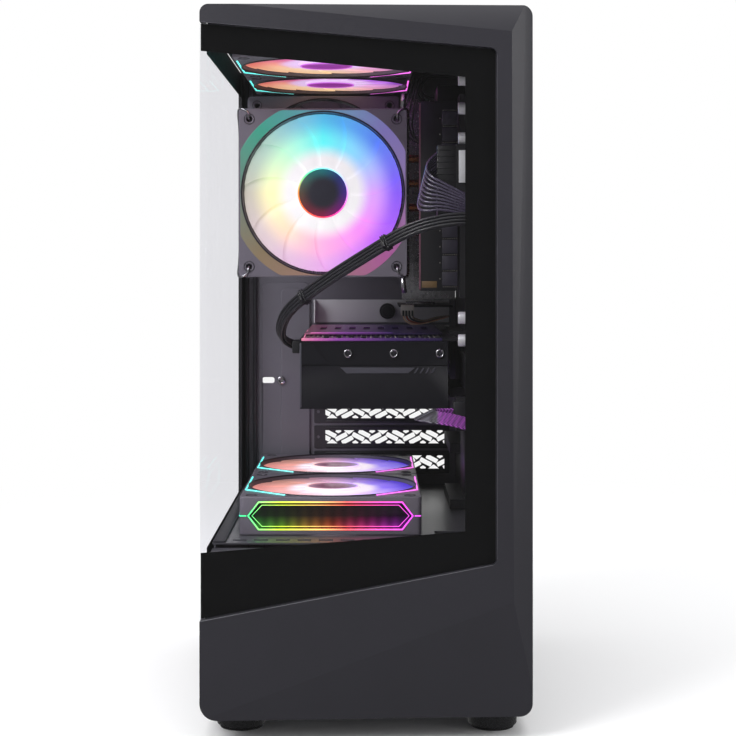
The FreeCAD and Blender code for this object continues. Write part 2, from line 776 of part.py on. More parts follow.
def make_left_glass():
    """The side pane and the steel rail behind its rear edge."""
    front = f"{FRONT} + glass_setback + glass_thickness + 0.3"
    points = rectangle((front, FLANGE), (LOW_GLASS, HIGH_GLASS))
    pane = padded("left_glass", "YZ_Plane", points, LEFT, f"{LEFT} + glass_thickness")
    piece("left_glass", pane)
    inner = f"({LEFT} + glass_thickness)"
    strip = block((inner, f"{inner} + sheet"), (f"{FLANGE} - 30", FLANGE),
                  (LOW_GLASS, HIGH_GLASS))
    flange = block((LEFT, f"{SHELL_LEFT} + post_width"), (FLANGE, f"{FLANGE} + sheet"),
                   (LOW_GLASS, HIGH_GLASS))
    holes = []
    for across, up in thumbscrew_places()[:2]:
        holes.append(rod("y", across, f"{FLANGE} - 1", up, "screw_hole", "sheet + 2"))
    piece("left_glass_rail", cut(fuse([strip, flange]), holes))


def make_right_panel():
    """The plain steel side, with a rear flange for its screws."""
    low = f"({BASE} + panel_gap)"
    high = "(case_height - 2*panel_gap)"
    skin = block((f"{RIGHT} - sheet", RIGHT), (f"{SHELL_FRONT} + panel_gap", FLANGE),
                 (low, high))
    flange = block((f"{SHELL_RIGHT} - post_width", RIGHT), (FLANGE, f"{FLANGE} + sheet"),
                   (low, high))
    holes = []
    for across, up in thumbscrew_places()[2:]:
        holes.append(rod("y", across, f"{FLANGE} - 1", up, "screw_hole", "sheet + 2"))
    piece("right_panel", cut(fuse([skin, flange]), holes))


def make_thumbscrews():
    """Two knurled screws at each side; each pair stays with its panel."""
    places = thumbscrew_places()
    for name, pair in (("left_thumbscrews", places[:2]), ("right_thumbscrews", places[2:])):
        screws = []
        for across, up in pair:
            head = rod("y", across, f"{FLANGE} + sheet", up, "screw_radius", "screw_head")
            shank = rod("y", across, f"{FLANGE} + sheet - screw_length", up, "screw_shank",
                        "screw_length + 1")
            screws.append(fuse([head, shank]))
        piece(name, group(screws))


def make_filter(name, x, y, z):
    """A dust filter: a border with a ribbed middle."""
    solid = block(x, y, z)
    inner_x = (f"({x[0]} + filter_border)", f"({x[1]} - filter_border)")
    inner_y = (f"({y[0]} + filter_border)", f"({y[1]} - filter_border)")
    mesh_low = f"({z[0]} + 0.6)"
    upper = block(inner_x, inner_y, (f"{mesh_low} + 0.5", f"{z[1]} + 1"))
    lower = block(inner_x, inner_y, (f"{z[0]} - 1", mesh_low))
    piece(name, cut(solid, [upper, lower]))


def make_filters():
    """The magnetic filter on the roof and the sliding one under the base."""
    roof = f"({ROOF} + sheet)"
    middle = "(top_fans_x + 14)"
    make_filter(
        "top_filter",
        (f"{middle} - roof_filter_width/2", f"{middle} + roof_filter_width/2"),
        ("top_fans_y - roof_filter_length/2", "top_fans_y + roof_filter_length/2"),
        (roof, f"{roof} + filter_thick"),
    )
    low = f"({BASE} - 0.3)"
    make_filter(
        "psu_filter",
        ("-low_filter_width/2", "low_filter_width/2"),
        (f"{REAR} - low_filter_length", f"{REAR} - 4"),
        (f"{low} - filter_thick", low),
    )


# ---------------------------------------------------------------------------
# Fans
# ---------------------------------------------------------------------------

ROTOR_BLADES = 9


def fan_frame(name, x, y, z, turn):
    """A square fan frame with round bore, corner holes and a hub on four struts."""
    rotation = Rotation(Vector(1, 0, 0), turn)
    half = "fan_size/2"
    square = block((f"-{half}", half), (f"-{half}", half), (0, "fan_depth"))
    tools = [rod("z", 0, 0, -1, "fan_bore/2", "fan_depth + 2")]
    for side in (-1, 1):
        for end in (-1, 1):
            tools.append(rod("z", f"{side}*fan_holes/2", f"{end}*fan_holes/2", -1,
                             "fan_hole/2", "fan_depth + 2"))
    ring = cut(square, tools)
    seat = rod("z", 0, 0, 0, "fan_hub/2", "hub_seat")
    one = block(("-fan_bore/2 - 1", "fan_bore/2 + 1"), (-1.5, 1.5), (0, "hub_seat"))
    two = block((-1.5, 1.5), ("-fan_bore/2 - 1", "fan_bore/2 + 1"), (0, "hub_seat"))
    frame = fuse([ring, seat, one, two])
    piece(name, place(frame, x, y, z, rotation))


def fan_rotor(name, x, y, z, turn, radius, hub, depth, seat, chord):
    """A hub with pitched blades, from one blade repeated round the axis."""
    rotation = Rotation(Vector(1, 0, 0), turn)
    body = doc.addObject("PartDesign::Body", name)
    plane = [item for item in body.Origin.OriginFeatures if item.Role == "XY_Plane"][0]
    disc = body.newObject("Sketcher::SketchObject", "hub_outline")
    disc.AttachmentSupport = [(plane, "")]
    disc.MapMode = "FlatFace"
    disc.setExpression("AttachmentOffset.Base.z", bound(f"{seat} + rotor_gap"))
    disc.addGeometry(Part.Circle(Vector(), Vector(0, 0, 1), value(hub) / 2), False)
    disc.addConstraint(Sketcher.Constraint("Coincident", 0, 3, -1, 1))
    disc.addConstraint(Sketcher.Constraint("Radius", 0, value(hub) / 2))
    disc.setExpression("Constraints[1]", bound(f"{hub}/2"))
    hub_pad = body.newObject("PartDesign::Pad", "hub_pad")
    hub_pad.Profile = disc
    hub_pad.setExpression("Length", bound(f"{depth} - {seat} - 2*rotor_gap"))
    low = f"({seat} + rotor_gap + 1)"
    high = f"({depth} - rotor_gap - 1)"
    points = [
        (f"-{chord}/2", low), (f"-{chord}/2 + blade_thick*1.5", low),
        (f"{chord}/2", high), (f"{chord}/2 - blade_thick*1.5", high),
    ]
    section = outline(body, "YZ_Plane", points, "blade_outline")
    blade = body.newObject("PartDesign::Pad", "blade")
    blade.Profile = section
    blade.setExpression("Length", bound(radius))
    doc.recompute()
    ring = body.newObject("PartDesign::PolarPattern", "blades")
    ring.Originals = [blade]
    ring.Axis = (disc, ["N_Axis"])
    ring.Angle = 360
    ring.Occurrences = ROTOR_BLADES
    body.Tip = ring
    piece(name, place(body, x, y, z, rotation))


def make_case_fans():
    """Two fans in the roof, two on the shroud, one at the rear, one on the cooler."""
    top = fan_pair("top_fans_y")
    low = fan_pair("low_fans_y")
    places = {
        "top_front_fan": ("top_fans_x", top[0], ROOF, 180),
        "top_rear_fan": ("top_fans_x", top[1], ROOF, 180),
        "bottom_front_fan": ("low_fans_x", low[0], f"{DECK} + fan_seat", 0),
        "bottom_rear_fan": ("low_fans_x", low[1], f"{DECK} + fan_seat", 0),
        "rear_fan": ("rear_fan_x", REAR, REAR_FAN_Z, 90),
        "cpu_fan": (COOLER_FAN_X, COOLER_FACE, COOLER_Z, 90),
    }
    for name, (x, y, z, turn) in places.items():
        fan_frame(f"{name}_frame", x, y, z, turn)
        fan_rotor(f"{name}_rotor", x, y, z, turn, "fan_bore/2 - blade_tip_gap", "fan_hub",
                  "fan_depth", "hub_seat", "blade_chord")


# ---------------------------------------------------------------------------
# Processor cooler
# ---------------------------------------------------------------------------

PIPE_ROWS = (-27.0, -9.0, 9.0, 27.0)


def heat_pipes(radius, start, length):
    """Straight pipes that stand out from the processor."""
    return [
        rod("x", start, COOLER_Y, f"{COOLER_Z} + {row}", radius, length)
        for row in PIPE_ROWS
    ]


def make_cpu_cooler():
    """Fin stack, pipes with their cold plate, and the wire clips of its fan."""
    fin_right = f"({COOLER_FAN_X} + cooler_width/2 - 2)"
    pitch = f"(({fin_right} - fin_thick - {COOLER_LEFT})/(fin_count - 1))"
    fins = []
    for start in row_of(int(size("fin_count")), pitch, COOLER_LEFT):
        fins.append(block((start, f"{start} + fin_thick"),
                          (COOLER_FACE, f"{COOLER_Y} + cooler_depth/2"),
                          (f"{COOLER_Z} - cooler_width/2", f"{COOLER_Z} + cooler_width/2")))
    reach = "cooler_reach - 2"
    tools = heat_pipes("pipe_radius + pipe_clearance", f"{COOLER_LEFT} - 1", reach)
    piece("cpu_fin_stack", cut(group(fins), tools))
    plate_face = f"({BOARD} - 16)"
    plate = block((plate_face, f"{BOARD} - 6"), (f"{COOLER_Y} - 20", f"{COOLER_Y} + 20"),
                  (f"{COOLER_Z} - 36", f"{COOLER_Z} + 36"))
    pipes = heat_pipes("pipe_radius", f"{COOLER_LEFT} - 0.5", f"{plate_face} - {COOLER_LEFT} + 2")
    piece("cpu_heat_pipes", fuse([plate] + pipes))
    clips = []
    front = f"({COOLER_FACE} - fan_depth)"
    for side in (-1, 1):
        across = f"({COOLER_FAN_X} + {side}*(fan_size/2 + 1.2))"
        down = f"{COOLER_Z} - fan_holes/2"
        upright = rod("z", across, f"{COOLER_FACE} + 4", down, "clip_wire", "fan_holes")
        arms = []
        for end in (-1, 1):
            up = f"({COOLER_Z} + {end}*fan_holes/2)"
            arm = rod("y", across, f"{front} - 1.2", up, "clip_wire", "fan_depth + 5.2")
            hook_start = across if side < 0 else f"{across} - 9"
            hook = rod("x", hook_start, f"{front} - 1.2", up, "clip_wire", 9)
            arms += [arm, hook]
        clips.append(fuse([upright] + arms))
    piece("cpu_fan_clips", group(clips))


# ---------------------------------------------------------------------------
# Main board and memory
# ---------------------------------------------------------------------------

CAPACITORS = (11.5, 30.5, 50.5, 169.5, 184.5)
CAPACITOR_SETBACK = 8.0
SOCKET_HEIGHT = 11.0
CARD_SLOT_SETBACK = 109.0
PROCESSOR_HEADER_REACH = (60.0, 40.0)
# Each flat heatsink: its ends along the board from the front edge, then its height, its low edge
# above the board's lower edge, and its high edge.
FLAT_HEATSINKS = ((14.0, 62.0, 6.0, 18.0, 62.0), (28.0, 108.0, 5.0, 86.0, 110.0))
REAR_HEATSINK_REACH = (42.0, 26.0)
TOP_HEATSINK_REACH = (130.0, 72.0)


def make_motherboard():
    """The board itself and the socket under the cooler."""
    plate = block((BOARD, f"{BOARD} + board_thick"), (BOARD_FRONT, BOARD_BACK),
                  (BOARD_LOW, BOARD_HIGH))
    socket = block((f"{BOARD} - 6", BOARD), (f"{COOLER_Y} - 22", f"{COOLER_Y} + 22"),
                   (f"{COOLER_Z} - 24", f"{COOLER_Z} + 24"))
    piece("motherboard", fuse([plate, socket]))


def make_board_sockets():
    """Card slots, memory sockets and power headers, all black plastic."""
    solids = []
    for middle in row_of(4, "-slot_pitch*2", f"{FIRST_SLOT} - slot_pitch + card_rise"):
        solids.append(block((f"{BOARD} - {SOCKET_HEIGHT}", BOARD),
                            (f"{BOARD_FRONT} + {CARD_SLOT_SETBACK}", f"{REAR} - 47"),
                            (f"{middle} - 3.5", f"{middle} + 3.5")))
    for middle in row_of(4, "memory_pitch", f"{BOARD_FRONT} + memory_setback"):
        solids.append(block(
            (f"{BOARD} - 6", BOARD), (f"{middle} - 3.2", f"{middle} + 3.2"),
            (f"{BOARD_HIGH} - memory_drop - memory_length - 5",
             f"{BOARD_HIGH} - memory_drop + 5"),
        ))
    header = (f"{BOARD} - connector_height", BOARD)
    edge = f"({BOARD_FRONT} + 3)"
    solids.append(block(header, (edge, f"{edge} + 10"),
                        (f"{BOARD_HIGH} - 106", f"{BOARD_HIGH} - 54.5")))
    solids.append(block(header, (edge, f"{edge} + 10"),
                        (f"{BOARD_HIGH} - 244", f"{BOARD_HIGH} - 222")))
    front, rear = PROCESSOR_HEADER_REACH
    solids.append(block(header, (f"{BOARD_BACK} - {front}", f"{BOARD_BACK} - {rear}"),
                        (f"{BOARD_HIGH} - 13", f"{BOARD_HIGH} - 2")))
    piece("board_sockets", group(solids))


def make_board_heatsinks():
    """Finned blocks on the power stages and the flat one on the chipset."""
    solids = []
    front, rear = REAR_HEATSINK_REACH
    rear_block = block((f"{BOARD} - 26", BOARD), (f"{BOARD_BACK} - {front}", f"{BOARD_BACK} - {rear}"),
                       (f"{BOARD_HIGH} - 135", f"{BOARD_HIGH} - 30"))
    grooves = []
    for start in row_of(9, 11.0, f"{BOARD_HIGH} - 128"):
        grooves.append(block((f"{BOARD} - 27", f"{BOARD} - 8"),
                             (f"{BOARD_BACK} - {front + 1}", f"{BOARD_BACK} - {rear - 1}"),
                             (start, f"{start} + 4")))
    solids.append(cut(rear_block, grooves))
    front, rear = TOP_HEATSINK_REACH
    solids.append(block((f"{BOARD} - 20", BOARD), (f"{BOARD_BACK} - {front}", f"{BOARD_BACK} - {rear}"),
                        (f"{BOARD_HIGH} - 19", f"{BOARD_HIGH} - 4")))
    for near, far, height, low, high in FLAT_HEATSINKS:
        solids.append(block((f"{BOARD} - {height}", BOARD),
                            (f"{BOARD_FRONT} + {near}", f"{BOARD_FRONT} + {far}"),
                            (f"{BOARD_LOW} + {low}", f"{BOARD_LOW} + {high}")))
    piece("board_heatsinks", group(solids))


def make_capacitors():
    """Round cans along the board's front edge."""
    along = f"{BOARD_FRONT} + {CAPACITOR_SETBACK}"
    cans = [
        rod("x", f"{BOARD} - 10.5", along, f"{BOARD_HIGH} - {down}", 4.0, 10.5)
        for down in CAPACITORS
    ]
    piece("capacitors", group(cans))


MEMORY_CHIPS = 8


def make_memory():
    """Two memory modules, each a thin board with a row of chips."""
    top = f"({BOARD_HIGH} - memory_drop)"
    low = f"({top} - memory_length)"
    root = f"({BOARD} - 2.5)"
    for number, socket in ((1, 0), (2, 2)):
        middle = f"({BOARD_FRONT} + memory_setback + {socket}*memory_pitch)"
        card = block((f"{root} - memory_height", f"{BOARD} - 6"),
                     (f"{middle} - 0.65", f"{middle} + 0.65"), (low, top))
        solids = [card]
        pitch = f"((memory_length - 12)/{MEMORY_CHIPS})"
        for start in row_of(MEMORY_CHIPS, pitch, f"{low} + 8"):
            solids.append(block((f"{root} - 16", f"{root} - 5.5"),
                                (f"{middle} - 1.85", f"{middle} - 0.65"),
                                (start, f"{start} + 9")))
        piece(f"ram_module_{number}", fuse(solids))


def make_rear_ports():
    """Metal-shelled sockets on the board's rear edge, behind their shield."""
    face = f"({REAR} - 0.4)"
    shield_top = f"({BOARD_HIGH} - {SHIELD_DROP})"
    across = (f"{BOARD} + {SHIELD_RIGHT} - {SHIELD_WIDTH} - 2", f"{BOARD} - 0.2")
    shield = block(across, (f"{face} - 0.6", face),
                   (f"{shield_top} - {SHIELD_HEIGHT} - 1.4", f"{shield_top} + 2"))
    sockets = (
        (12, 26, 4, 20), (34, 50, 2, 18), (58, 74, 2, 34), (82, 98, 2, 34), (106, 122, 2, 30),
        (130, 150, 4, 34),
    )
    solids = []
    holes = []
    for low, high, near, far in sockets:
        spot_x = (f"{BOARD} - {far}", f"{BOARD} - {near}")
        spot_z = (f"{shield_top} - {high}", f"{shield_top} - {low}")
        solids.append(block(spot_x, (f"{face} - 18", f"{face} + 1.4"), spot_z))
        holes.append(block((f"{BOARD} - {far - 1.5}", f"{BOARD} - {near + 1.5}"),
                           (f"{face} - 12", f"{face} + 2"),
                           (f"{shield_top} - {high - 1.5}", f"{shield_top} - {low + 1.5}")))
    piece("rear_io_ports", cut(fuse([shield] + solids), holes))


# ---------------------------------------------------------------------------
# Expansion cards
# ---------------------------------------------------------------------------

COVER_HEIGHT = 18.4
COVER_LEFT = 114.0
COVER_RIGHT = 5.0
COVER_WINDOW_LEFT = 105.0
COVER_WINDOW_RIGHT = 8.3
COVER_WINDOW_HEIGHT = 11.3


def slot_plate(slot, slots, windows):
    """A bracket over one or more slots, with a window if it is a blank cover."""
    face = f"({REAR} - 0.1)"
    middle = f"({FIRST_SLOT} - {slot}*slot_pitch)"
    last = f"({middle} - {slots - 1}*slot_pitch)"
    plate = block((f"{BOARD} - {COVER_LEFT}", f"{BOARD} - {COVER_RIGHT}"),
                  (f"{face} - 0.8", face),
                  (f"{last} - {COVER_HEIGHT / 2}", f"{middle} + {COVER_HEIGHT / 2}"))
    if not windows:
        return plate
    hole = block(
        (f"{BOARD} - {COVER_WINDOW_LEFT}", f"{BOARD} - {COVER_WINDOW_RIGHT}"),
        (f"{face} - 2", f"{face} + 1"),
        (f"{middle} - {COVER_WINDOW_HEIGHT / 2}", f"{middle} + {COVER_WINDOW_HEIGHT / 2}"),
    )
    bars = []
    for start in row_of(10, 9.6, f"{BOARD} - {COVER_WINDOW_LEFT} + 4.4"):
        bars.append(block((start, f"{start} + 1.6"), (f"{face} - 0.8", face),
                          (f"{middle} - {COVER_WINDOW_HEIGHT / 2}",
                           f"{middle} + {COVER_WINDOW_HEIGHT / 2}")))
    return fuse([cut(plate, [hole])] + bars)


def make_slot_covers():
    """Blank covers over the slots that hold no card."""
    piece("slot_covers", group([slot_plate(slot, 1, True) for slot in (3, 4, 5, 6)]))


WIFI_REACH = 62.0
WIFI_LENGTH = 78.0
BRACKET_FACE = 0.9
AERIALS = (40.0, 62.0)
AERIAL_RADIUS = 3.1
AERIAL_LENGTH = 9.9


def make_wifi_card():
    """A short card in the first slot with its bracket and two aerial sockets."""
    plane = f"({FIRST_SLOT} + card_rise)"
    bracket = slot_plate(0, 1, False)
    card = block((f"{BOARD} - {WIFI_REACH}", f"{BOARD} - 6"),
                 (f"{REAR} - {WIFI_LENGTH}", f"{REAR} - {BRACKET_FACE}"),
                 (f"{plane} - 0.8", f"{plane} + 0.8"))
    chip = block((f"{BOARD} - 50", f"{BOARD} - 22"), (f"{REAR} - 62", f"{REAR} - 30"),
                 (f"{plane} - 4.8", f"{plane} - 0.8"))
    aerials = [
        rod("y", f"{BOARD} - {across}", f"{REAR} - {BRACKET_FACE}", FIRST_SLOT, AERIAL_RADIUS,
            AERIAL_LENGTH)
        for across in AERIALS
    ]
    piece("wifi_card", fuse([bracket, card, chip] + aerials))


CARD_FAN_MIDDLES = (0.27, 0.75)


def card_fan_places():
    """Middles of the graphics card's two fans along its length."""
    middle = f"(({CARD_LEFT} + {CARD_RIGHT})/2)"
    return [(middle, f"({CARD_FRONT} + {share}*card_length)") for share in CARD_FAN_MIDDLES]


def make_graphics_card():
    """Board, shroud, heatsink, bracket and two fans that face down."""
    board_low = f"({CARD_PLANE} - board_thick/2)"
    low = f"({board_low} - card_height + 3)"
    board = block((CARD_LEFT, f"{BOARD} - 8"), (f"{CARD_FRONT} + 3", f"{CARD_BACK}"),
                  (board_low, f"{board_low} + board_thick"))
    key = block((f"{CARD_RIGHT} - 2", f"{BOARD} - {SOCKET_HEIGHT}"), (f"{REAR} - 46", CARD_BACK),
                (f"{board_low} - 1", f"{board_low} + board_thick + 1"))
    notch = block((f"{BOARD} - {SOCKET_HEIGHT + 0.2}", f"{BOARD} + 1"), (f"{CARD_BACK} - 137", CARD_BACK),
                  (f"{board_low} - 1", f"{board_low} + board_thick + 1"))
    chips = []
    for start in row_of(5, 14.0, f"{CARD_FRONT} + 66"):
        chips.append(block((f"{CARD_LEFT} + 12", f"{CARD_LEFT} + 22"), (start, f"{start} + 8"),
                           (f"{board_low} + board_thick - 0.1", f"{board_low} + board_thick + 1.4")))
    plug_socket = block((f"{CARD_LEFT} + 0.2", f"{CARD_LEFT} + 13"),
                        (f"{CARD_FRONT} + 4", f"{CARD_FRONT} + 34"),
                        (f"{board_low} - 8", board_low))
    trimmed = cut(board, [notch, key])
    piece("gpu_board", fuse([trimmed, plug_socket] + chips))
    outer = block((CARD_LEFT, CARD_RIGHT), (CARD_FRONT, f"{CARD_BACK} - 1"),
                  (low, f"{board_low} - seat_gap"))
    inner = block((f"{CARD_LEFT} + card_wall", f"{CARD_RIGHT} - card_wall"),
                  (f"{CARD_FRONT} + card_wall", f"{CARD_BACK} + 1"),
                  (f"{low} + card_wall", f"{board_low} + 1"))
    tools = [inner]
    for across, along in card_fan_places():
        tools.append(rod("z", across, along, f"{low} - 1", "card_fan_radius + 1.5", 20))
    tools.append(block((f"{CARD_LEFT} - 1", f"{CARD_LEFT} + card_wall + 1"),
                       (f"{CARD_FRONT} + 3.5", f"{CARD_FRONT} + 34.5"),
                       (f"{board_low} - 9", f"{board_low} + 1")))
    piece("gpu_shroud", cut(outer, tools))
    fin_low = f"({low} + card_fan_depth + 6)"
    fin_high = f"({board_low} - 10)"
    spread = block((f"{CARD_LEFT} + 5", f"{CARD_RIGHT} - 5"),
                   (f"{CARD_FRONT} + 40", f"{CARD_BACK} - 6"), (fin_high, f"{fin_high} + 3"))
    fins = []
    for start in row_of(23, 4.0, f"{CARD_LEFT} + 6"):
        fins.append(block((start, f"{start} + 0.8"),
                          (f"{CARD_FRONT} + 6", f"{CARD_BACK} - 6"), (fin_low, fin_high)))
    die = block((f"{CARD_LEFT} + 36", f"{CARD_LEFT} + 66"),
                (f"{CARD_FRONT} + 80", f"{CARD_FRONT} + 110"), (f"{fin_high} + 3", board_low))
    rail = block((f"{CARD_LEFT} + 5", f"{CARD_RIGHT} - 5"),
                 (f"{CARD_FRONT} + 8", f"{CARD_FRONT} + 14"), (fin_high, f"{fin_high} + 1"))
    bridge = block((f"{CARD_LEFT} + 46", f"{CARD_LEFT} + 56"),
                   (f"{CARD_FRONT} + 10", f"{CARD_FRONT} + 42"), (fin_high, f"{fin_high} + 1"))
    motors = []
    for across, along in card_fan_places():
        motors.append(rod("z", across, along, f"{low} + card_fan_depth + 0.8", 14, 6))
    piece("gpu_heatsink", fuse([spread, die, rail, bridge] + fins + motors))
    piece("gpu_bracket", slot_plate(1, 2, False))
    for name, (across, along) in zip(("gpu_front_fan", "gpu_rear_fan"), card_fan_places()):
        fan_rotor(name, across, along, low, 0, "card_fan_radius", "30", "card_fan_depth", "0",
                  "blade_chord*0.7")


# ---------------------------------------------------------------------------
# Power supply and drive cage
# ---------------------------------------------------------------------------

SUPPLY_FAN_RADIUS = 58.0
INLET_X = "(supply_width/2 - 23)"
INLET_UP = 60.0
ROCKER_UP = 26.0
ROCKER_SETBACK = 6.0
ROCKER_FACE = 7.6
ROCKER_TILT = 8.0
SUPPLY_SKIN = 1.0


def rocker_middle():
    """Middle of the mains switch on the power supply's rear face."""
    return f"({SUPPLY_LOW} + {ROCKER_UP})"


def make_power_supply():
    """Case with its fan opening below, mains inlet, mains switch and fan."""
    low = SUPPLY_LOW
    high = f"({SUPPLY_LOW} + supply_height)"
    front = f"({REAR} - supply_length)"
    half = "supply_width/2"
    outer = block((f"-{half}", half), (front, REAR), (low, high))
    skin = SUPPLY_SKIN
    hollow = block((f"-{half} + {skin}", f"{half} - {skin}"), (f"{front} + {skin}",
                   f"{REAR} - {skin}"), (f"{low} + {skin}", f"{high} - {skin}"))
    middle = f"({REAR} - supply_length/2)"
    tools = [hollow, rod("z", 0, middle, f"{low} - 1", SUPPLY_FAN_RADIUS + 2, 3)]
    rear = (f"{REAR} - 3", f"{REAR} + 1")
    inlet_z = f"({low} + {INLET_UP})"
    tools.append(block((f"{INLET_X} - inlet_width/2", f"{INLET_X} + inlet_width/2"), rear,
                       (f"{inlet_z} - inlet_height/2", f"{inlet_z} + inlet_height/2")))
    rocker_z = rocker_middle()
    tools.append(block((f"{INLET_X} - rocker_width/2 - 0.8", f"{INLET_X} + rocker_width/2 + 0.8"),
                       rear, (f"{rocker_z} - rocker_height/2 - 0.8",
                              f"{rocker_z} + rocker_height/2 + 0.8")))
    for start in row_of(9, 8.0, f"{low} + 8"):
        tools.append(block((f"-{half} + 10", f"{INLET_X} - 26"), rear, (start, f"{start} + 5")))
    piece("psu_case", cut(outer, tools))
    body = block((f"{INLET_X} - inlet_width/2", f"{INLET_X} + inlet_width/2"),
                 (f"{REAR} - inlet_depth", f"{REAR} + 1"),
                 (f"{inlet_z} - inlet_height/2", f"{inlet_z} + inlet_height/2"))
    mouth = block(
        (f"{INLET_X} - inlet_width/2 + inlet_wall", f"{INLET_X} + inlet_width/2 - inlet_wall"),
        (f"{REAR} - inlet_depth + 3", f"{REAR} + 2"),
        (f"{inlet_z} - inlet_height/2 + inlet_wall", f"{inlet_z} + inlet_height/2 - inlet_wall"),
    )
    pins = []
    for across, up in ((-7.0, -2.0), (0.0, 2.0), (7.0, -2.0)):
        pins.append(block((f"{INLET_X} + {across - 1}", f"{INLET_X} + {across + 1}"),
                          (f"{REAR} - inlet_depth + 2", f"{REAR} - 2"),
                          (f"{inlet_z} + {up - 2}", f"{inlet_z} + {up + 2}")))
    piece("power_inlet", fuse([cut(body, [mouth])] + pins))
    barrel = rod("x", "-rocker_width/2", 0, 0, "rocker_height/2", "rocker_width")
    trim = block(("-rocker_width", "rocker_width"), (ROCKER_FACE, "rocker_height"),
                 ("-rocker_height", "rocker_height"))
    tilt = Rotation(Vector(1, 0, 0), ROCKER_TILT)
    piece("psu_switch", place(cut(barrel, [trim]), INLET_X, f"{REAR} - {ROCKER_SETBACK}",
                              rocker_z, tilt))
    fan_rotor("psu_fan", "0", middle, f"{low} + {skin}", 0, SUPPLY_FAN_RADIUS, "44",
              "fan_depth", "0", "blade_chord")


CAGE_X = (-62.0, 50.0)
CAGE_HEIGHT = 62.0
BAY_HEIGHT = 29.0
DRIVE_HEIGHT = 26.0


def make_drive_cage():
    """A two-bay cage in front of the power supply with one drive in it."""
    left, right = CAGE_X
    y = (f"{FRAME_BACK} + 4", f"{REAR} - supply_length - 22")
    low = FLOOR
    outer = block((left, right), y, (low, f"{low} + {CAGE_HEIGHT}"))
    inside = (f"{left} + sheet", f"{right} - sheet")
    bays = []
    for start in (f"({low} + sheet)", f"({low} + 2*sheet + {BAY_HEIGHT + 1})"):
        bays.append(block(inside, (f"{y[0]} - 1", f"{y[1]} + 1"),
                          (start, f"{start} + {BAY_HEIGHT}")))
    drive = block((f"{left} + 10", f"{right} - sheet - seat_gap"), (f"{y[0]} + 2", f"{y[1]} - 3"),
                  (f"{low} + sheet", f"{low} + sheet + {DRIVE_HEIGHT}"))
    piece("drive_cage", group([cut(outer, bays), drive]))


# ---------------------------------------------------------------------------
# Ports and power button on the roof
# ---------------------------------------------------------------------------

BUTTON_AT = 11.0
USB_AT = (29.0, 48.0)
USB_C_AT = 64.0
JACKS_AT = (78.0, 90.0)
USB_LENGTH = 13.2
USB_WIDTH = 5.8
USB_SHELL = 0.4
USB_C_LENGTH = 9.0
USB_C_WIDTH = 3.3
PORT_CLEARANCE = 0.1


def make_roof_ports():
    """The strip on the roof with a sprung button, three data ports and two jacks."""
    top = "(case_height - strip_top)"
    roof = f"({ROOF} + sheet)"
    side = "(strip_width/2)"
    flange = block((f"{STRIP_X} - {side} - 1.5", f"{STRIP_X} + {side} + 1.5"),
                   (f"{STRIP_FRONT} - 1.5", f"{STRIP_FRONT} + strip_length + 1.5"),
                   (roof, top))
    core = block((f"{STRIP_X} - {side} + seat_gap", f"{STRIP_X} + {side} - seat_gap"),
                 (f"{STRIP_FRONT} + seat_gap", f"{STRIP_FRONT} + strip_length - seat_gap"),
                 (f"{roof} - strip_depth", top))
    tools = [rod("z", STRIP_X, f"{STRIP_FRONT} + {BUTTON_AT}", f"{top} - 6",
                 "button_radius + button_clearance", 8)]
    shells = []
    low = f"({roof} - strip_depth)"
    for middle in USB_AT:
        tools.append(port_block(middle, USB_LENGTH, USB_WIDTH, PORT_CLEARANCE, low, top, 1))
        shells.append(port_shell(middle, USB_LENGTH, USB_WIDTH, low, top, 1.0))
    tools.append(port_block(USB_C_AT, USB_C_LENGTH, USB_C_WIDTH, PORT_CLEARANCE, low, top, 1))
    shells.append(port_shell(USB_C_AT, USB_C_LENGTH, USB_C_WIDTH, low, top, 0.35))
    for middle in JACKS_AT:
        along = f"{STRIP_FRONT} + {middle}"
        tools.append(rod("z", STRIP_X, along, f"{low} - 1", "jack_barrel/2 + 0.05", 20))
        barrel = rod("z", STRIP_X, along, f"{top} - jack_length", "jack_barrel/2",
                     "jack_length")
        bore = rod("z", STRIP_X, along, f"{top} - jack_length + 1", "jack_bore/2",
                   "jack_length")
        shells.append(cut(barrel, [bore]))
    piece("io_strip", cut(fuse([flange, core]), tools))
    piece("front_ports", group(shells))
    button = rod("z", STRIP_X, f"{STRIP_FRONT} + {BUTTON_AT}", f"{top} - 3.9", "button_radius",
                 4.5)
    piece("power_button", button)


def port_block(middle, length, width, grow, low, top, reach):
    """A box round a port, upright and centred on the strip."""
    along = f"({STRIP_FRONT} + {middle})"
    return block(
        (f"{STRIP_X} - {width / 2 + grow}", f"{STRIP_X} + {width / 2 + grow}"),
        (f"{along} - {length / 2 + grow}", f"{along} + {length / 2 + grow}"),
        (f"{low} - {reach}", f"{top} + {reach}"),
    )


def port_shell(middle, length, width, low, top, tongue):
    """A metal shell, closed below, with a plastic tongue in its middle."""
    along = f"({STRIP_FRONT} + {middle})"
    outer = port_block(middle, length, width, 0, low, top, 0)
    mouth = port_block(middle, length, width, -USB_SHELL, f"({low} + 2)", top, 1)
    blade = block(
        (f"{STRIP_X} - {tongue}", f"{STRIP_X} + {tongue}"),
        (f"{along} - {length / 2 - 1.2}", f"{along} + {length / 2 - 1.2}"),
        (low, f"{top} - 1.5"),
    )
    return fuse([cut(outer, [mouth]), blade])


# ---------------------------------------------------------------------------
# Cables
# ---------------------------------------------------------------------------

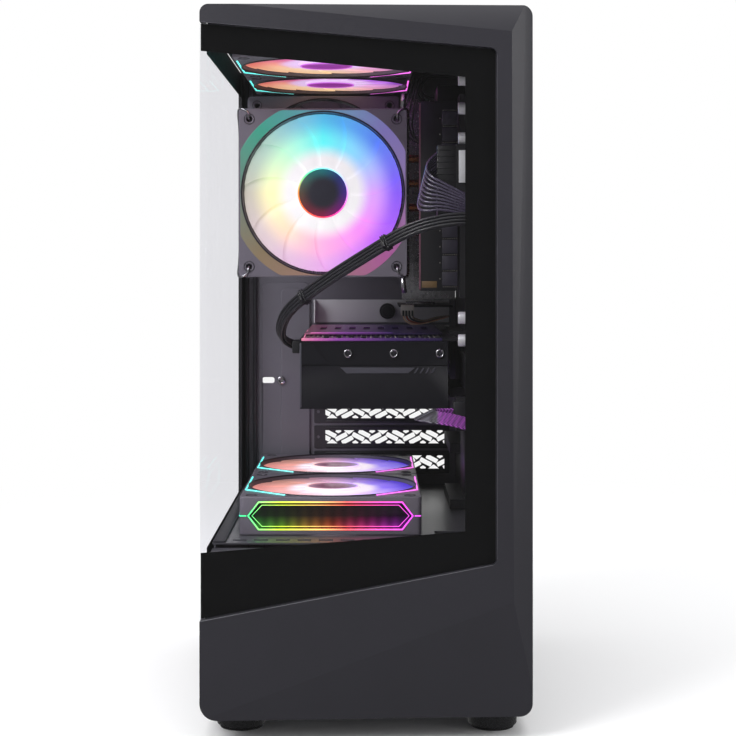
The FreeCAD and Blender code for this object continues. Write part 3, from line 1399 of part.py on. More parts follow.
def rounded_path(points):
    """Straight runs joined by tangent arcs, each as large as its two runs allow."""
    edges = []
    start = points[0]
    for before, corner, after in zip(points, points[1:], points[2:]):
        arriving = (corner - before).normalize()
        leaving = (after - corner).normalize()
        half_turn = arriving.getAngle(leaving) / 2
        reach = 0.45 * min((corner - before).Length, (after - corner).Length)
        radius = reach / math.tan(half_turn)
        enter = corner - arriving * reach
        leave = corner + leaving * reach
        inward = (leaving - arriving).normalize()
        middle = corner + inward * (radius / math.cos(half_turn) - radius)
        edges.append(Part.LineSegment(start, enter).toShape())
        edges.append(Part.Arc(enter, middle, leave).toShape())
        start = leave
        print(f"  arc radius {radius:.1f}")
    edges.append(Part.LineSegment(start, points[-1]).toShape())
    return Part.Wire(edges)


def lead(name, points, radius):
    """A round cable along its route, checked against its section and length."""
    print(name)
    path = rounded_path([Vector(*point) for point in points])
    heading = (Vector(*points[1]) - Vector(*points[0])).normalize()
    section = Part.Wire([Part.Circle(Vector(*points[0]), heading, radius).toShape()])
    solid = path.makePipeShell([section], True, True)
    expected = math.pi * radius * radius * path.Length
    print(f"  length {path.Length:.1f}, volume ratio {solid.Volume / expected:.4f}")
    cable = doc.addObject("Part::Feature", "lead")
    cable.Shape = solid
    return cable


def make_gpu_power_cable():
    """From the power supply, up behind the tray, and across to the graphics card."""
    card_left = value(CARD_LEFT)
    card_front = value(CARD_FRONT)
    supply_front = value(f"{REAR} - supply_length")
    hole = value(cable_hole_middle()) - 5.5
    points = [
        (58.0, supply_front, 88.0),
        (58.0, supply_front - 24.0, 88.0),
        (72.0, supply_front - 48.0, 94.0),
        (92.0, supply_front - 78.0, 112.0),
        (97.0, supply_front - 110.0, 150.0),
        (97.0, hole, 205.0),
        (97.5, hole, 268.0),
        (95.0, hole, 314.0),
        (80.0, hole, 330.0),
        (56.0, hole + 0.5, 331.5),
        (28.2, -121.0, 325.0),
        (3.3, -104.0, 310.0),
        (-22.0, -86.0, 294.3),
        (-42.0, -74.0, 280.5),
        (card_left - 9.0, -64.0, 268.5),
        (card_left - 13.6, card_front + 1.0, 257.5),
        (card_left - 13.0, card_front + 9.0, 250.2),
        (card_left - 7.5, card_front + 15.0, 246.0),
        (card_left - 3.0, card_front + 17.6, 244.4),
    ]
    low = f"({CARD_PLANE} - board_thick/2 - 9)"
    plug = block((f"{CARD_LEFT} - 5", CARD_LEFT), (f"{CARD_FRONT} + 6", f"{CARD_FRONT} + 31"),
                 (low, f"{low} + 8.8"))
    cable = lead("gpu_power_cable", points, size("wire_bundle"))
    piece("gpu_power_cable", fuse([cable, plug]))


def make_atx_cable():
    """The wide board lead: plug, a flat loop, and the run behind the tray."""
    middle = f"({BOARD_FRONT} + 8)"
    plug_right = f"({BOARD} - connector_height)"
    plug_left = f"({plug_right} - 13)"
    top = f"({BOARD_HIGH} - 55)"
    low = f"({top} - ribbon_width)"
    plug = block((plug_left, plug_right), (f"{middle} - 4.5", f"{middle} + 4.5"), (low, top))
    hole = f"({cable_hole_middle()} + 5)"
    loop_y = f"(({middle} + {hole})/2)"
    loop_radius = f"(({middle} - {hole})/2)"
    turn_x = f"({plug_left} - 8)"
    near = block((turn_x, plug_left), (f"{middle} - ribbon_thick/2", f"{middle} + ribbon_thick/2"),
                 (low, top))
    far = block((turn_x, f"{TRAY} + 3"), (f"{hole} - ribbon_thick/2", f"{hole} + ribbon_thick/2"),
                (low, top))
    outer = rod("z", turn_x, loop_y, low, f"{loop_radius} + ribbon_thick/2", "ribbon_width")
    inner = rod("z", turn_x, loop_y, f"{low} - 1", f"{loop_radius} - ribbon_thick/2",
                "ribbon_width + 2")
    half = block((turn_x, f"{turn_x} + 60"), (f"{loop_y} - 60", f"{loop_y} + 60"),
                 (f"{low} - 1", f"{top} + 1"))
    bend = cut(outer, [inner, half])
    down = block((f"{TRAY} + 1", f"{TRAY} + 1 + ribbon_thick"),
                 (f"{hole} - ribbon_thick/2", f"{hole} + 20"), (f"{DECK} - 27", top))
    piece("atx_cable", fuse([plug, near, bend, far, down]))


def make_board_cables():
    """The thick data lead at the board's front edge and the processor's power lead."""
    face = value(BOARD) - size("connector_height")
    header = value(f"{BOARD_FRONT} + 8")
    hole = value(cable_hole_middle()) - 4.0
    middle = (header + hole) / 2
    usb = [
        (86.0, hole, 166.0),
        (84.5, hole, 183.0),
        (73.0, hole, 195.0),
        (57.5, hole, 200.5),
        (42.5, hole, 202.5),
        (35.0, middle, 203.0),
        (42.5, header, 202.5),
        (face, header, 202.5),
    ]
    power = [
        (88.0, 88.0, 410.0),
        (88.0, 88.0, 430.0),
        (79.0, 88.0, 445.5),
        (62.0, 88.0, 449.5),
        (44.2, 88.0, 448.0),
        (38.5, 88.0, 437.7),
        (44.2, 88.0, 427.5),
        (face, 88.0, 427.5),
    ]
    leads = [
        lead("usb lead", usb, size("usb_lead")),
        lead("processor lead", power, size("board_lead")),
    ]
    piece("board_cables", group(leads))


# ---------------------------------------------------------------------------
# Build, check and write
# ---------------------------------------------------------------------------

def build():
    """Make every sub-part."""
    fill_sheet()
    make_base_tray()
    make_rear_panel()
    make_front_frame()
    make_motherboard_tray()
    make_grommets()
    make_top_frame()
    make_psu_shroud()
    make_left_lower_panel()
    make_feet()
    make_front_bezel()
    make_front_glass()
    make_left_glass()
    make_right_panel()
    make_thumbscrews()
    make_filters()
    make_case_fans()
    make_cpu_cooler()
    make_motherboard()
    make_board_sockets()
    make_board_heatsinks()
    make_capacitors()
    make_memory()
    make_rear_ports()
    make_slot_covers()
    make_wifi_card()
    make_graphics_card()
    make_power_supply()
    make_drive_cage()
    make_roof_ports()
    make_gpu_power_cable()
    make_atx_cable()
    make_board_cables()
    doc.recompute()


def check():
    """Stop if any object failed or any sub-part has no valid shape."""
    for item in doc.Objects:
        if "Invalid" in item.State or "Error" in item.State:
            raise RuntimeError(f"{item.Label} failed: {item.State}")
    for item in pieces:
        if item.Shape.isNull() or not item.Shape.isValid():
            raise RuntimeError(f"{item.Label} has no valid shape")


def write():
    """Write one file for each sub-part."""
    os.makedirs("parts", exist_ok=True)
    for item in pieces:
        item.Shape.exportStep(f"parts/{item.Label}.step")
    box = Part.makeCompound([item.Shape for item in pieces]).BoundBox
    print(f"{len(pieces)} pieces")
    print(f"x {box.XMin:.2f} to {box.XMax:.2f}")
    print(f"y {box.YMin:.2f} to {box.YMax:.2f}")
    print(f"z {box.ZMin:.2f} to {box.ZMax:.2f}")


build()
check()
write()
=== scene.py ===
# %% [markdown]
# # A desktop computer tower, piece by piece
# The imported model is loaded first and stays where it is. It is the frame that every new piece is
# measured from, so nothing below is placed by eye: a piece asks the frame where its neighbours are.

# %% Load the frame
import json
import math

import bpy
from mathutils import Matrix, Vector


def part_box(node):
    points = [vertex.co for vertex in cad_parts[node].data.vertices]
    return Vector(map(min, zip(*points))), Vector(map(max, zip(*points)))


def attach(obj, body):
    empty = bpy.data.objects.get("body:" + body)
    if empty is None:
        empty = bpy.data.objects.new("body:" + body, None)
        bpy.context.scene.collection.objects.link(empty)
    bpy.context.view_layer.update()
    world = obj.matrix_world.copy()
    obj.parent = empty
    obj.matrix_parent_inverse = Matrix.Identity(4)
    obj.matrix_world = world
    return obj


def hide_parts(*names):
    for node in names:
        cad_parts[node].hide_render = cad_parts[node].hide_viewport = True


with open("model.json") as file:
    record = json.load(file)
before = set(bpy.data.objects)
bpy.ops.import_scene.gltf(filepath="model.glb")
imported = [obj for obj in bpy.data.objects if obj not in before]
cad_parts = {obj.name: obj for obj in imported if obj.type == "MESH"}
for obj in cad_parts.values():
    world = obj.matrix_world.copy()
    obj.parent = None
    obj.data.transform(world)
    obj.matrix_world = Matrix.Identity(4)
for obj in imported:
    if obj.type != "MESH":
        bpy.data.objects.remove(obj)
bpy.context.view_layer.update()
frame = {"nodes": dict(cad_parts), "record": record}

scene = bpy.context.scene
nodes = frame["nodes"]
body_of_node = {}
for body_name, members in frame["record"]["behaviour"]["bodies"].items():
    for member in members:
        body_of_node[member] = body_name

# %% [markdown]
# ## Camera
# The tower is seen from straight ahead through a long lens, level with its upper half. A level
# camera keeps the sides upright, and the lens shift brings the feet into view without tilting it.

# %% Camera
MM = 0.001
CAMERA_X = 2.0
CAMERA_HEIGHT = 303.0
CAMERA_DISTANCE = 1030.0
FRONT_OF_TOWER = -158.0
FOCAL_LENGTH = 80.35
SENSOR_WIDTH = 36.0
LENS_SHIFT = (-0.0027, -0.144)
VIEW_RANGE = (0.01, 60.0)
lens = bpy.data.cameras.new("portrait lens")
lens.lens = FOCAL_LENGTH
lens.sensor_width = SENSOR_WIDTH
lens.shift_x, lens.shift_y = LENS_SHIFT
lens.clip_start, lens.clip_end = VIEW_RANGE
camera = bpy.data.objects.new("camera", lens)
scene.collection.objects.link(camera)
camera.location = Vector((CAMERA_X, FRONT_OF_TOWER - CAMERA_DISTANCE, CAMERA_HEIGHT)) * MM
camera.rotation_euler = (math.pi / 2, 0.0, 0.0)
scene.camera = camera
print("camera at", tuple(round(value, 3) for value in camera.location))

# %% [markdown]
# ## Colours and nodes
# Paint charts give colours as screen values, and shaders want linear light, so one function turns
# one into the other. One more adds a shader node with its settings and its links.

# %% Colour and node helpers
def linear(hex_colour, alpha=1.0):
    """Turns a screen colour such as 33323a into the linear light that shaders use."""
    channels = []
    for start in (0, 2, 4):
        value = int(hex_colour[start:start + 2], 16) / 255
        channels.append(value / 12.92 if value <= 0.04045 else ((value + 0.055) / 1.055) ** 2.4)
    return (*channels, alpha)


def add(tree, kind, sockets=None, **settings):
    """Adds one node. Settings are its options; sockets its inputs, a value or another's output."""
    made = tree.nodes.new("ShaderNode" + kind)
    for option, value in settings.items():
        setattr(made, option, value)
    for socket, value in (sockets or {}).items():
        if isinstance(value, bpy.types.NodeSocket):
            tree.links.new(value, made.inputs[socket])
        else:
            made.inputs[socket].default_value = value
    return made


def new_material(name):
    """An empty material and its node tree."""
    made = bpy.data.materials.new(name)
    made.use_nodes = True
    made.node_tree.nodes.clear()
    return made, made.node_tree


def object_place(tree):
    """Each point's place on the piece, which stays put when the piece moves."""
    return add(tree, "TexCoord").outputs["Object"]


def set_ramp(ramp, stops):
    """Fills a colour ramp with (position, colour) stops."""
    elements = ramp.color_ramp.elements
    while len(elements) > 1:
        elements.remove(elements[0])
    elements[0].position = stops[0][0]
    elements[0].color = stops[0][1]
    for position, colour in stops[1:]:
        elements.new(position).color = colour
    return ramp.outputs["Color"]

# %% [markdown]
# ## Stage
# A product shot stands on a white sweep. Here the floor is one pale sheet that brightens into the
# white of the world, so no horizon shows. Only the camera sees that white: the light that falls on
# the tower, and what its glass mirrors, are dimmer, or the black enamel would look grey.

# %% Floor and world
FLOOR_REACH = 8.0
FADE = (0.28, 1.1)  # metres from the tower at which the paper starts to glow, and only glows
bpy.ops.object.select_all(action="DESELECT")
bpy.ops.mesh.primitive_plane_add(size=2 * FLOOR_REACH)
floor = bpy.context.object
floor.name = "studio_floor"
paper, tree = new_material("matt white paper sweep")
distance = add(tree, "VectorMath", {0: object_place(tree)}, operation="LENGTH")
fade = add(tree, "MapRange", {0: distance.outputs["Value"], 1: FADE[0], 2: FADE[1]},
           interpolation_type="SMOOTHSTEP")
near = add(tree, "BsdfDiffuse", {"Color": linear("f4f4f5")})
glow = add(tree, "Emission", {"Color": linear("ffffff"), "Strength": 1.0})
blend = add(tree, "MixShader", {0: fade.outputs[0], 1: near.outputs[0], 2: glow.outputs[0]})
add(tree, "OutputMaterial", {"Surface": blend.outputs[0]})
floor.data.materials.append(paper)
floor.visible_glossy = False  # glass and gloss mirror the dim studio and not the bright floor

world = bpy.data.worlds.new("white studio")
scene.world = world
world.use_nodes = True
tree = world.node_tree
tree.nodes.clear()
ray = add(tree, "LightPath")
WORLD_FILL = 0.5
WORLD_MIRRORED = 0.2
mirrored = add(tree, "Mix", {0: ray.outputs["Is Glossy Ray"], 2: WORLD_FILL, 3: WORLD_MIRRORED})
seen = add(tree, "Mix", {0: ray.outputs["Is Camera Ray"], 2: mirrored.outputs[0], 3: 1.0})
sky = add(tree, "Background", {"Color": linear("ffffff"), "Strength": seen.outputs[0]})
add(tree, "OutputWorld", {"Surface": sky.outputs[0]})
scene.view_settings.view_transform = "Standard"
print("floor", floor.name, "world", world.name)

# %% [markdown]
# ## Lights
# Four large soft panels, as in a small studio: one above, one on the left that shines in through
# the side glass, a weak one on the right that draws a pale line down the bevelled edges, and one
# behind, so that the rear wall is not black.

# %% Soft panels
def soft_panel(name, place, target, width, height, power):
    """One area light that faces a point."""
    lamp = bpy.data.lights.new(name, "AREA")
    lamp.shape = "RECTANGLE"
    lamp.size = width
    lamp.size_y = height
    lamp.energy = power
    panel = bpy.data.objects.new(name, lamp)
    scene.collection.objects.link(panel)
    panel.location = place
    panel.rotation_euler = (Vector(target) - Vector(place)).to_track_quat("-Z", "Y").to_euler()
    return panel


MIDDLE = (0.0, 0.0, 0.24)
PANELS = (  # name, place, width and height in metres, power in watts
    ("top panel", (0.1, -0.3, 1.7), 1.6, 1.4, 16.0),
    ("left panel", (-0.75, -0.75, 0.95), 0.7, 0.6, 13.0),
    ("right panel", (1.6, -1.0, 0.9), 0.9, 1.4, 13.0),
    ("back panel", (0.4, 1.7, 0.8), 1.4, 1.2, 10.0),
)
for name, spot, width, height, power in PANELS:
    soft_panel(name, spot, MIDDLE, width, height, power)

# %% [markdown]
# ## Modelling by hand, in code
# The tower is mostly cut sheet, moulded plastic and wire, so a few moves make nearly all of it: a
# block or a rod that gets its edges rounded, a sheet cut to an outline, and a wire run along
# points. Each move leaves its object at the origin with its place in the mesh, as the frame's nodes
# are.
# All sizes are in millimetres, and are turned to metres in one place.

# %% Blocks and rods
def pick(*pieces):
    """Selects just these pieces, the last one active, because an operator acts on all it finds."""
    bpy.ops.object.select_all(action="DESELECT")
    for piece in pieces:
        piece.select_set(True)
        bpy.context.view_layer.objects.active = piece


def settle(piece, name):
    """Names a piece and moves its place into its mesh."""
    piece.name = name
    pick(piece)
    bpy.ops.object.transform_apply(location=True, rotation=True, scale=True)
    return piece


def soften(piece, width, segments=2, angle=35.0):
    """Rounds the piece's edges and shades it smooth across them."""
    pick(piece)
    if width > 0:
        bevel = piece.modifiers.new("rounded edges", "BEVEL")
        bevel.width = width * MM
        bevel.segments = segments
        bevel.limit_method = "ANGLE"
        bevel.angle_limit = math.radians(angle)
        bpy.ops.object.modifier_apply(modifier=bevel.name)
    bpy.ops.object.shade_smooth_by_angle(angle=math.radians(angle))
    return piece


def block(name, low, high, edge=0.0, segments=2):
    """A box between two corners, its edges rounded."""
    low = Vector(low)
    high = Vector(high)
    bpy.ops.object.select_all(action="DESELECT")
    bpy.ops.mesh.primitive_cube_add(size=1, location=(low + high) / 2 * MM, scale=(high - low) * MM)
    return soften(settle(bpy.context.object, name), edge, segments)


def rod(name, start, end, radius, sides=24, edge=0.0, end_radius=None):
    """A round bar, or a cone, between two points."""
    start = Vector(start)
    end = Vector(end)
    bpy.ops.object.select_all(action="DESELECT")
    top = radius if end_radius is None else end_radius
    along = end - start
    bpy.ops.mesh.primitive_cone_add(vertices=sides, radius1=radius * MM, radius2=top * MM,
                                    depth=along.length * MM, location=(start + end) / 2 * MM,
                                    rotation=along.to_track_quat("Z", "Y").to_euler())
    return soften(settle(bpy.context.object, name), edge)


def join(name, pieces):
    """Makes one piece of several."""
    pick(*pieces)
    if len(pieces) > 1:
        bpy.ops.object.join()
    made = bpy.context.object
    made.name = name
    return made


def copies(piece, shifts):
    """Copies of a piece, each with a mesh of its own, moved by each shift in millimetres."""
    made = []
    for shift in shifts:
        pick(piece)
        bpy.ops.object.duplicate()
        copy = bpy.context.object
        copy.data.transform(Matrix.Translation(Vector(shift) * MM))
        made.append(copy)
    return made


def row(name, piece, shifts):
    """The piece and its copies at the shifts, joined as one."""
    made = copies(piece, shifts)
    bpy.data.objects.remove(piece)
    return join(name, made)


def turned(piece, count, centre, axis):
    """The piece and its copies, spread evenly round an axis through the centre, joined as one."""
    made = [piece]
    middle = Vector(centre) * MM
    for step in range(1, count):
        pick(piece)
        bpy.ops.object.duplicate()
        copy = bpy.context.object
        turn = Matrix.Rotation(2 * math.pi * step / count, 4, Vector(axis))
        copy.data.transform(Matrix.Translation(middle) @ turn @ Matrix.Translation(-middle))
        made.append(copy)
    return join(piece.name, made)


def cut(piece, *cutters):
    """Cuts other pieces out of a piece, and throws them away."""
    for cutter in cutters:
        pick(piece)
        boolean = piece.modifiers.new("cut", "BOOLEAN")
        boolean.operation = "DIFFERENCE"
        boolean.solver = "EXACT"
        boolean.object = cutter
        bpy.ops.object.modifier_apply(modifier=boolean.name)
        bpy.data.objects.remove(cutter)
    return piece

# %% [markdown]
# ## Cut sheets
# A flat curve fills the space between its outlines, holes and all, and gives itself thickness and a
# rounded edge. That is how a laser or a press makes a panel, a grille or a fan frame. The sheet is
# drawn flat and then stood up on the face it belongs to.

# %% Outlines and sheets
FACES = {  # each face's two drawing directions and the way it looks
    "front": ((1, 0, 0), (0, 0, 1), (0, -1, 0)),
    "back": ((-1, 0, 0), (0, 0, 1), (0, 1, 0)),
    "left": ((0, -1, 0), (0, 0, 1), (-1, 0, 0)),
    "right": ((0, 1, 0), (0, 0, 1), (1, 0, 0)),
    "top": ((1, 0, 0), (0, 1, 0), (0, 0, 1)),
    "under": ((1, 0, 0), (0, -1, 0), (0, 0, -1)),
}


def on_face(face, at):
    """The matrix that stands a flat drawing on a face that lies this far along its look."""
    across, up, look = (Vector(direction) for direction in FACES[face])
    stand = Matrix((across, up, look)).transposed().to_4x4()
    return Matrix.Translation(look * at * MM) @ stand


def ring(x, y, radius, count=48, start=0.0, end=360.0):
    """Points on a circle, or on a part of one."""
    whole = abs(end - start) >= 360
    steps = count if whole else count - 1
    points = []
    for step in range(count):
        angle = math.radians(start + (end - start) * step / steps)
        points.append((x + radius * math.cos(angle), y + radius * math.sin(angle)))
    return points


def rounded(corners, radius, steps=5):
    """An outline with its corners rounded by arcs."""
    points = []
    count = len(corners)
    for index, corner in enumerate(corners):
        here = Vector(corner)
        before = (Vector(corners[index - 1]) - here).normalized()
        after = (Vector(corners[(index + 1) % count]) - here).normalized()
        half = before.angle(after) / 2
        middle = here + (before + after).normalized() * radius / math.sin(half)
        start = here + before * radius / math.tan(half) - middle
        sweep = start.angle_signed(here + after * radius / math.tan(half) - middle)
        for step in range(steps + 1):
            turn = Matrix.Rotation(-sweep * step / steps, 2)
            points.append(tuple(middle + turn @ start))
    return points


def oblong(left, low, right, high, radius=0.0):
    """A rectangle, its corners rounded."""
    corners = [(left, low), (right, low), (right, high), (left, high)]
    return rounded(corners, radius) if radius > 0 else corners


def sheet(name, outlines, face, at, depth, edge=0.0, steps=2):
    """A sheet between outlines on a face: it rises by depth from the height given."""
    drawing = bpy.data.curves.new(name, "CURVE")
    drawing.dimensions = "2D"
    drawing.fill_mode = "BOTH"
    drawing.extrude = (depth / 2 - edge) * MM
    drawing.bevel_depth = edge * MM
    drawing.bevel_resolution = steps
    drawing.offset = -edge * MM
    for outline in outlines:
        spline = drawing.splines.new("POLY")
        spline.points.add(len(outline) - 1)
        for point, (x, y) in zip(spline.points, outline):
            point.co = (x * MM, y * MM, 0.0, 1.0)
        spline.use_cyclic_u = True
    piece = bpy.data.objects.new(name, drawing)
    scene.collection.objects.link(piece)
    pick(piece)
    bpy.ops.object.convert(target="MESH")
    piece = bpy.context.object
    piece.matrix_world = on_face(face, at + depth / 2)
    settle(piece, name)
    pick(piece)
    bpy.ops.object.shade_smooth_by_angle(angle=math.radians(35))
    return piece


def wire(name, points, radius, closed=False, smooth=False, sides=3, flat=1.0):
    """A wire or bead along points, straight between them, or smooth."""
    drawing = bpy.data.curves.new(name, "CURVE")
    drawing.dimensions = "3D"
    drawing.bevel_depth = radius * MM
    drawing.bevel_resolution = sides
    drawing.resolution_u = 6
    drawing.use_fill_caps = True
    spline = drawing.splines.new("NURBS" if smooth else "POLY")
    spline.points.add(len(points) - 1)
    for point, place in zip(spline.points, points):
        point.co = (*(Vector(place) * MM), 1.0)
    spline.use_cyclic_u = closed
    if smooth:
        spline.order_u = 3
        spline.use_endpoint_u = not closed
    piece = bpy.data.objects.new(name, drawing)
    scene.collection.objects.link(piece)
    pick(piece)
    bpy.ops.object.convert(target="MESH")
    bpy.ops.object.shade_smooth_by_angle(angle=math.radians(50))
    return bpy.context.object


def box_mm(node):
    """A node's lowest and highest corners, in millimetres."""
    low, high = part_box(node)
    return low / MM, high / MM


finished = []


def place(piece, material, body, slot=None, replaces=()):
    """Gives a piece its material, its body and the nodes that it stands for. The slot is not used.
    """
    piece.data.materials.clear()
    piece.data.materials.append(material)
    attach(piece, body)
    if replaces:
        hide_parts(*replaces)
    finished.append(piece)
    print(piece.name, len(piece.data.polygons), "faces on", body)
    return piece


def from_node(name, node, edge=0.0, segments=2, angle=30.0):
    """A copy of a node's mesh with its loose triangles merged, so that its edges can be rounded."""
    piece = nodes[node].copy()
    piece.data = nodes[node].data.copy()
    piece.parent = None
    for key in list(piece.keys()):
        del piece[key]
    piece.name = name
    scene.collection.objects.link(piece)
    pick(piece)
    bpy.ops.object.mode_set(mode="EDIT")
    bpy.ops.mesh.select_all(action="SELECT")
    bpy.ops.mesh.remove_doubles(threshold=0.00001)
    bpy.ops.mesh.dissolve_limited(angle_limit=math.radians(1.0))
    bpy.ops.object.mode_set(mode="OBJECT")
    return soften(piece, edge, segments, angle)

# %% [markdown]
# ## Finishes
# Nearly every surface here is black or grey, so what tells one from another is gloss and grain.
# One recipe serves for painted, moulded and metal surfaces: two close shades wander into each
# other, the roughness follows the grain, and a fine bump gives that grain its real size.

# %% A grained finish
CLOUD_MM = 40.0  # how far apart the clouds of the two shades lie
NOISE_RANGE = (0.3, 0.7)  # noise seldom leaves this range, so it is stretched to the whole one


def grained(name, shades, rough, grain_mm, bump_mm, metallic=0.0, coat=0.0, stretch=(1, 1, 1),
            **more):
    """A finish of two shades with a roughness range, and a grain of a real size and depth."""
    made, tree = new_material(name)
    spot = add(tree, "Mapping", {0: object_place(tree), "Scale": stretch}).outputs[0]
    cloud = add(tree, "TexNoise", {"Vector": spot, "Scale": 1 / (CLOUD_MM * MM), "Detail": 3.0})
    noise = add(tree, "TexNoise", {"Vector": spot, "Scale": 1 / (grain_mm * MM), "Detail": 2.0})
    grain = noise.outputs["Fac"]
    shade_one, shade_two = (linear(shade) for shade in shades)
    mixed = add(tree, "MixRGB", {0: cloud.outputs["Fac"], 1: shade_one, 2: shade_two})
    roughness = add(tree, "MapRange", {0: grain, 1: NOISE_RANGE[0], 2: NOISE_RANGE[1],
                                       3: rough[0], 4: rough[1]})
    raised = add(tree, "Bump", {"Height": grain, "Distance": bump_mm * MM, "Strength": 1.0})
    sockets = {"Base Color": mixed.outputs[0], "Roughness": roughness.outputs[0],
               "Metallic": metallic, "Coat Weight": coat, "Coat Roughness": 0.15,
               "Normal": raised.outputs[0]}
    sockets.update(more)
    shader = add(tree, "BsdfPrincipled", sockets)
    add(tree, "OutputMaterial", {"Surface": shader.outputs[0]})
    return made


# The bezel is ABS moulded in a spark-eroded tool: a satin blue-grey with a fine, even grain that
# spreads each reflection into a soft gradient. Real grain is near 0.3 mm, and is drawn at 0.8.
bezel_abs = grained("satin blue-grey moulded ABS", ("25242b", "222127"), (0.36, 0.50), 0.8, 0.02)
# Painted steel: powder coat melts into a low orange peel, with bumps about 1.5 mm across.
powder_black = grained("black powder coated steel", ("2b2a31", "232229"), (0.38, 0.52), 1.5, 0.03)
powder_grey = grained("grey powder coated steel", ("6a6771", "5c5963"), (0.40, 0.55), 1.5, 0.03)
# Matt ABS, for trim and plugs: darker, with a coarser grain that hides scratches.
matt_abs = grained("matt black moulded ABS", ("1c1b20", "151418"), (0.48, 0.65), 0.7, 0.03)
# Nylon with glass fibre, for connectors: slightly warm and waxy.
nylon = grained("black glass-filled nylon", ("17161a", "201f24"), (0.35, 0.5), 0.5, 0.02)
# Polished feet: injection moulded ABS with a glossy ring.
foot_abs = grained("semi-gloss moulded ABS", ("1d1d20", "17171a"), (0.22, 0.34), 1.2, 0.004)
# Moulded rubber: very matt, with a chalky sheen at its edges.
rubber = grained("moulded EPDM rubber", ("141416", "1b1b1e"), (0.75, 0.9), 0.6, 0.03)
# Nickel plate over steel, for screws, clips and sockets: bright, with faint drawing lines.
nickel = grained("nickel plated steel", ("c9c8cc", "b4b3b9"), (0.16, 0.30), 2.0, 0.01, metallic=1.0)
# Rolled aluminium, for fins and brackets: pale, with brush lines that run along the sheet.
aluminium = grained("rolled aluminium sheet", ("a9a9b2", "95959e"), (0.28, 0.42), 1.0, 0.01,
                    metallic=1.0, stretch=(0.05, 1, 1))
# Zinc plated steel, for the card brackets: a silvery surface, soft rather than mirror bright.
zinc = grained("zinc plated steel bracket", ("e2e1e4", "c6c5ca"), (0.30, 0.46), 1.2, 0.015,
               metallic=0.15)
# Anodised aluminium, for the heatsinks on the board: black dye sealed in an oxide layer.
anodised = grained("black anodised aluminium", ("2a292e", "232227"), (0.32, 0.44), 0.6, 0.015,
                   metallic=0.7)
# Solder mask over copper: a matt black lacquer with tracks that just show.
solder_mask = grained("matt black solder mask", ("100f15", "14131a"), (0.42, 0.52), 0.8, 0.002)
copper = grained("bare copper pipe", ("c07a50", "a9643e"), (0.18, 0.30), 3.0, 0.01, metallic=1.0)
gold = grained("gold plated contact", ("d9b25a", "c79a3f"), (0.2, 0.3), 1.0, 0.005, metallic=1.0)
nylon_mesh = grained("woven nylon dust mesh", ("121214", "1a1a1c"), (0.6, 0.8), 0.8, 0.05)
jacket = grained("black PVC wire jacket", ("26252b", "1d1c21"), (0.30, 0.42), 1.0, 0.01)
print(len(bpy.data.materials), "finishes")

# %% [markdown]
# ## Glass
# Tempered panels are 4 mm thick, yet they bend nothing that is seen through them, so they are made
# as thin glass: clear where it is looked through, and mirroring more towards its edges.

# %% Glass and enamel
def thin_glass(name, tint, most, roughness=0.015):
    """Glass that lets light straight through, and mirrors by its angle as its coating allows."""
    made, tree = new_material(name)
    through = add(tree, "BsdfTransparent", {"Color": linear(tint)})
    mirror = add(tree, "BsdfGlossy", {"Color": linear("ffffff"), "Roughness": roughness})
    facing = add(tree, "Fresnel", {"IOR": 1.45})
    coated = add(tree, "Math", {0: facing.outputs[0], 1: most}, operation="MINIMUM")
    blend = add(tree, "MixShader", {0: coated.outputs[0], 1: through.outputs[0],
                                    2: mirror.outputs[0]})
    add(tree, "OutputMaterial", {"Surface": blend.outputs[0]})
    return made


side_glass = thin_glass("clear tempered side glass", "f9f9fb", 0.05)
front_glass = thin_glass("clear tempered front glass", "fcfcfc", 0.015)
# The band printed round the edge of the glass is ceramic enamel, fired on: deep black and smooth.
enamel = grained("black fired ceramic enamel", ("0c0c0d", "0b0b0c"), (0.30, 0.36), 2.0, 0.002,
                 **{"Specular IOR Level": 0.03})

# %% [markdown]
# ## Light that comes out of a fan
# The fans are lit by eight coloured diodes round the hub. Each sends its colour outward through
# frosted blades, so the colour changes with the angle round the axle, is nearly white by the hub,
# and deepens towards the rim. A radial gradient and two colour rings say just that. On the roof and
# floor fans the rings also hold painted shade towards the tower's back, and on the floor fans a
# painted reflection of the bore's wall there. The pattern is laid on the piece's own coordinates, so
# it turns with the rotor.

# %% Materials that glow round an axle
EIGHTHS = 8


def colour_ring(colours):
    """Ramp stops for eight colours, from the left side round by the bottom and back to the left."""
    stops = [(index / EIGHTHS, linear(colour)) for index, colour in enumerate(colours)]
    return stops + [(1.0, linear(colours[0]))]


def by_share(tree, value, stops):
    """A colour that follows a value from 0 to 1."""
    return set_ramp(add(tree, "ValToRGB", {0: value}), stops)


def share_of(tree, value, start, end, blend="LINEAR"):
    """How far a place lies between two others, given in millimetres, as a value from 0 to 1."""
    return add(tree, "MapRange", {0: value, 1: start * MM, 2: end * MM},
               interpolation_type=blend).outputs[0]


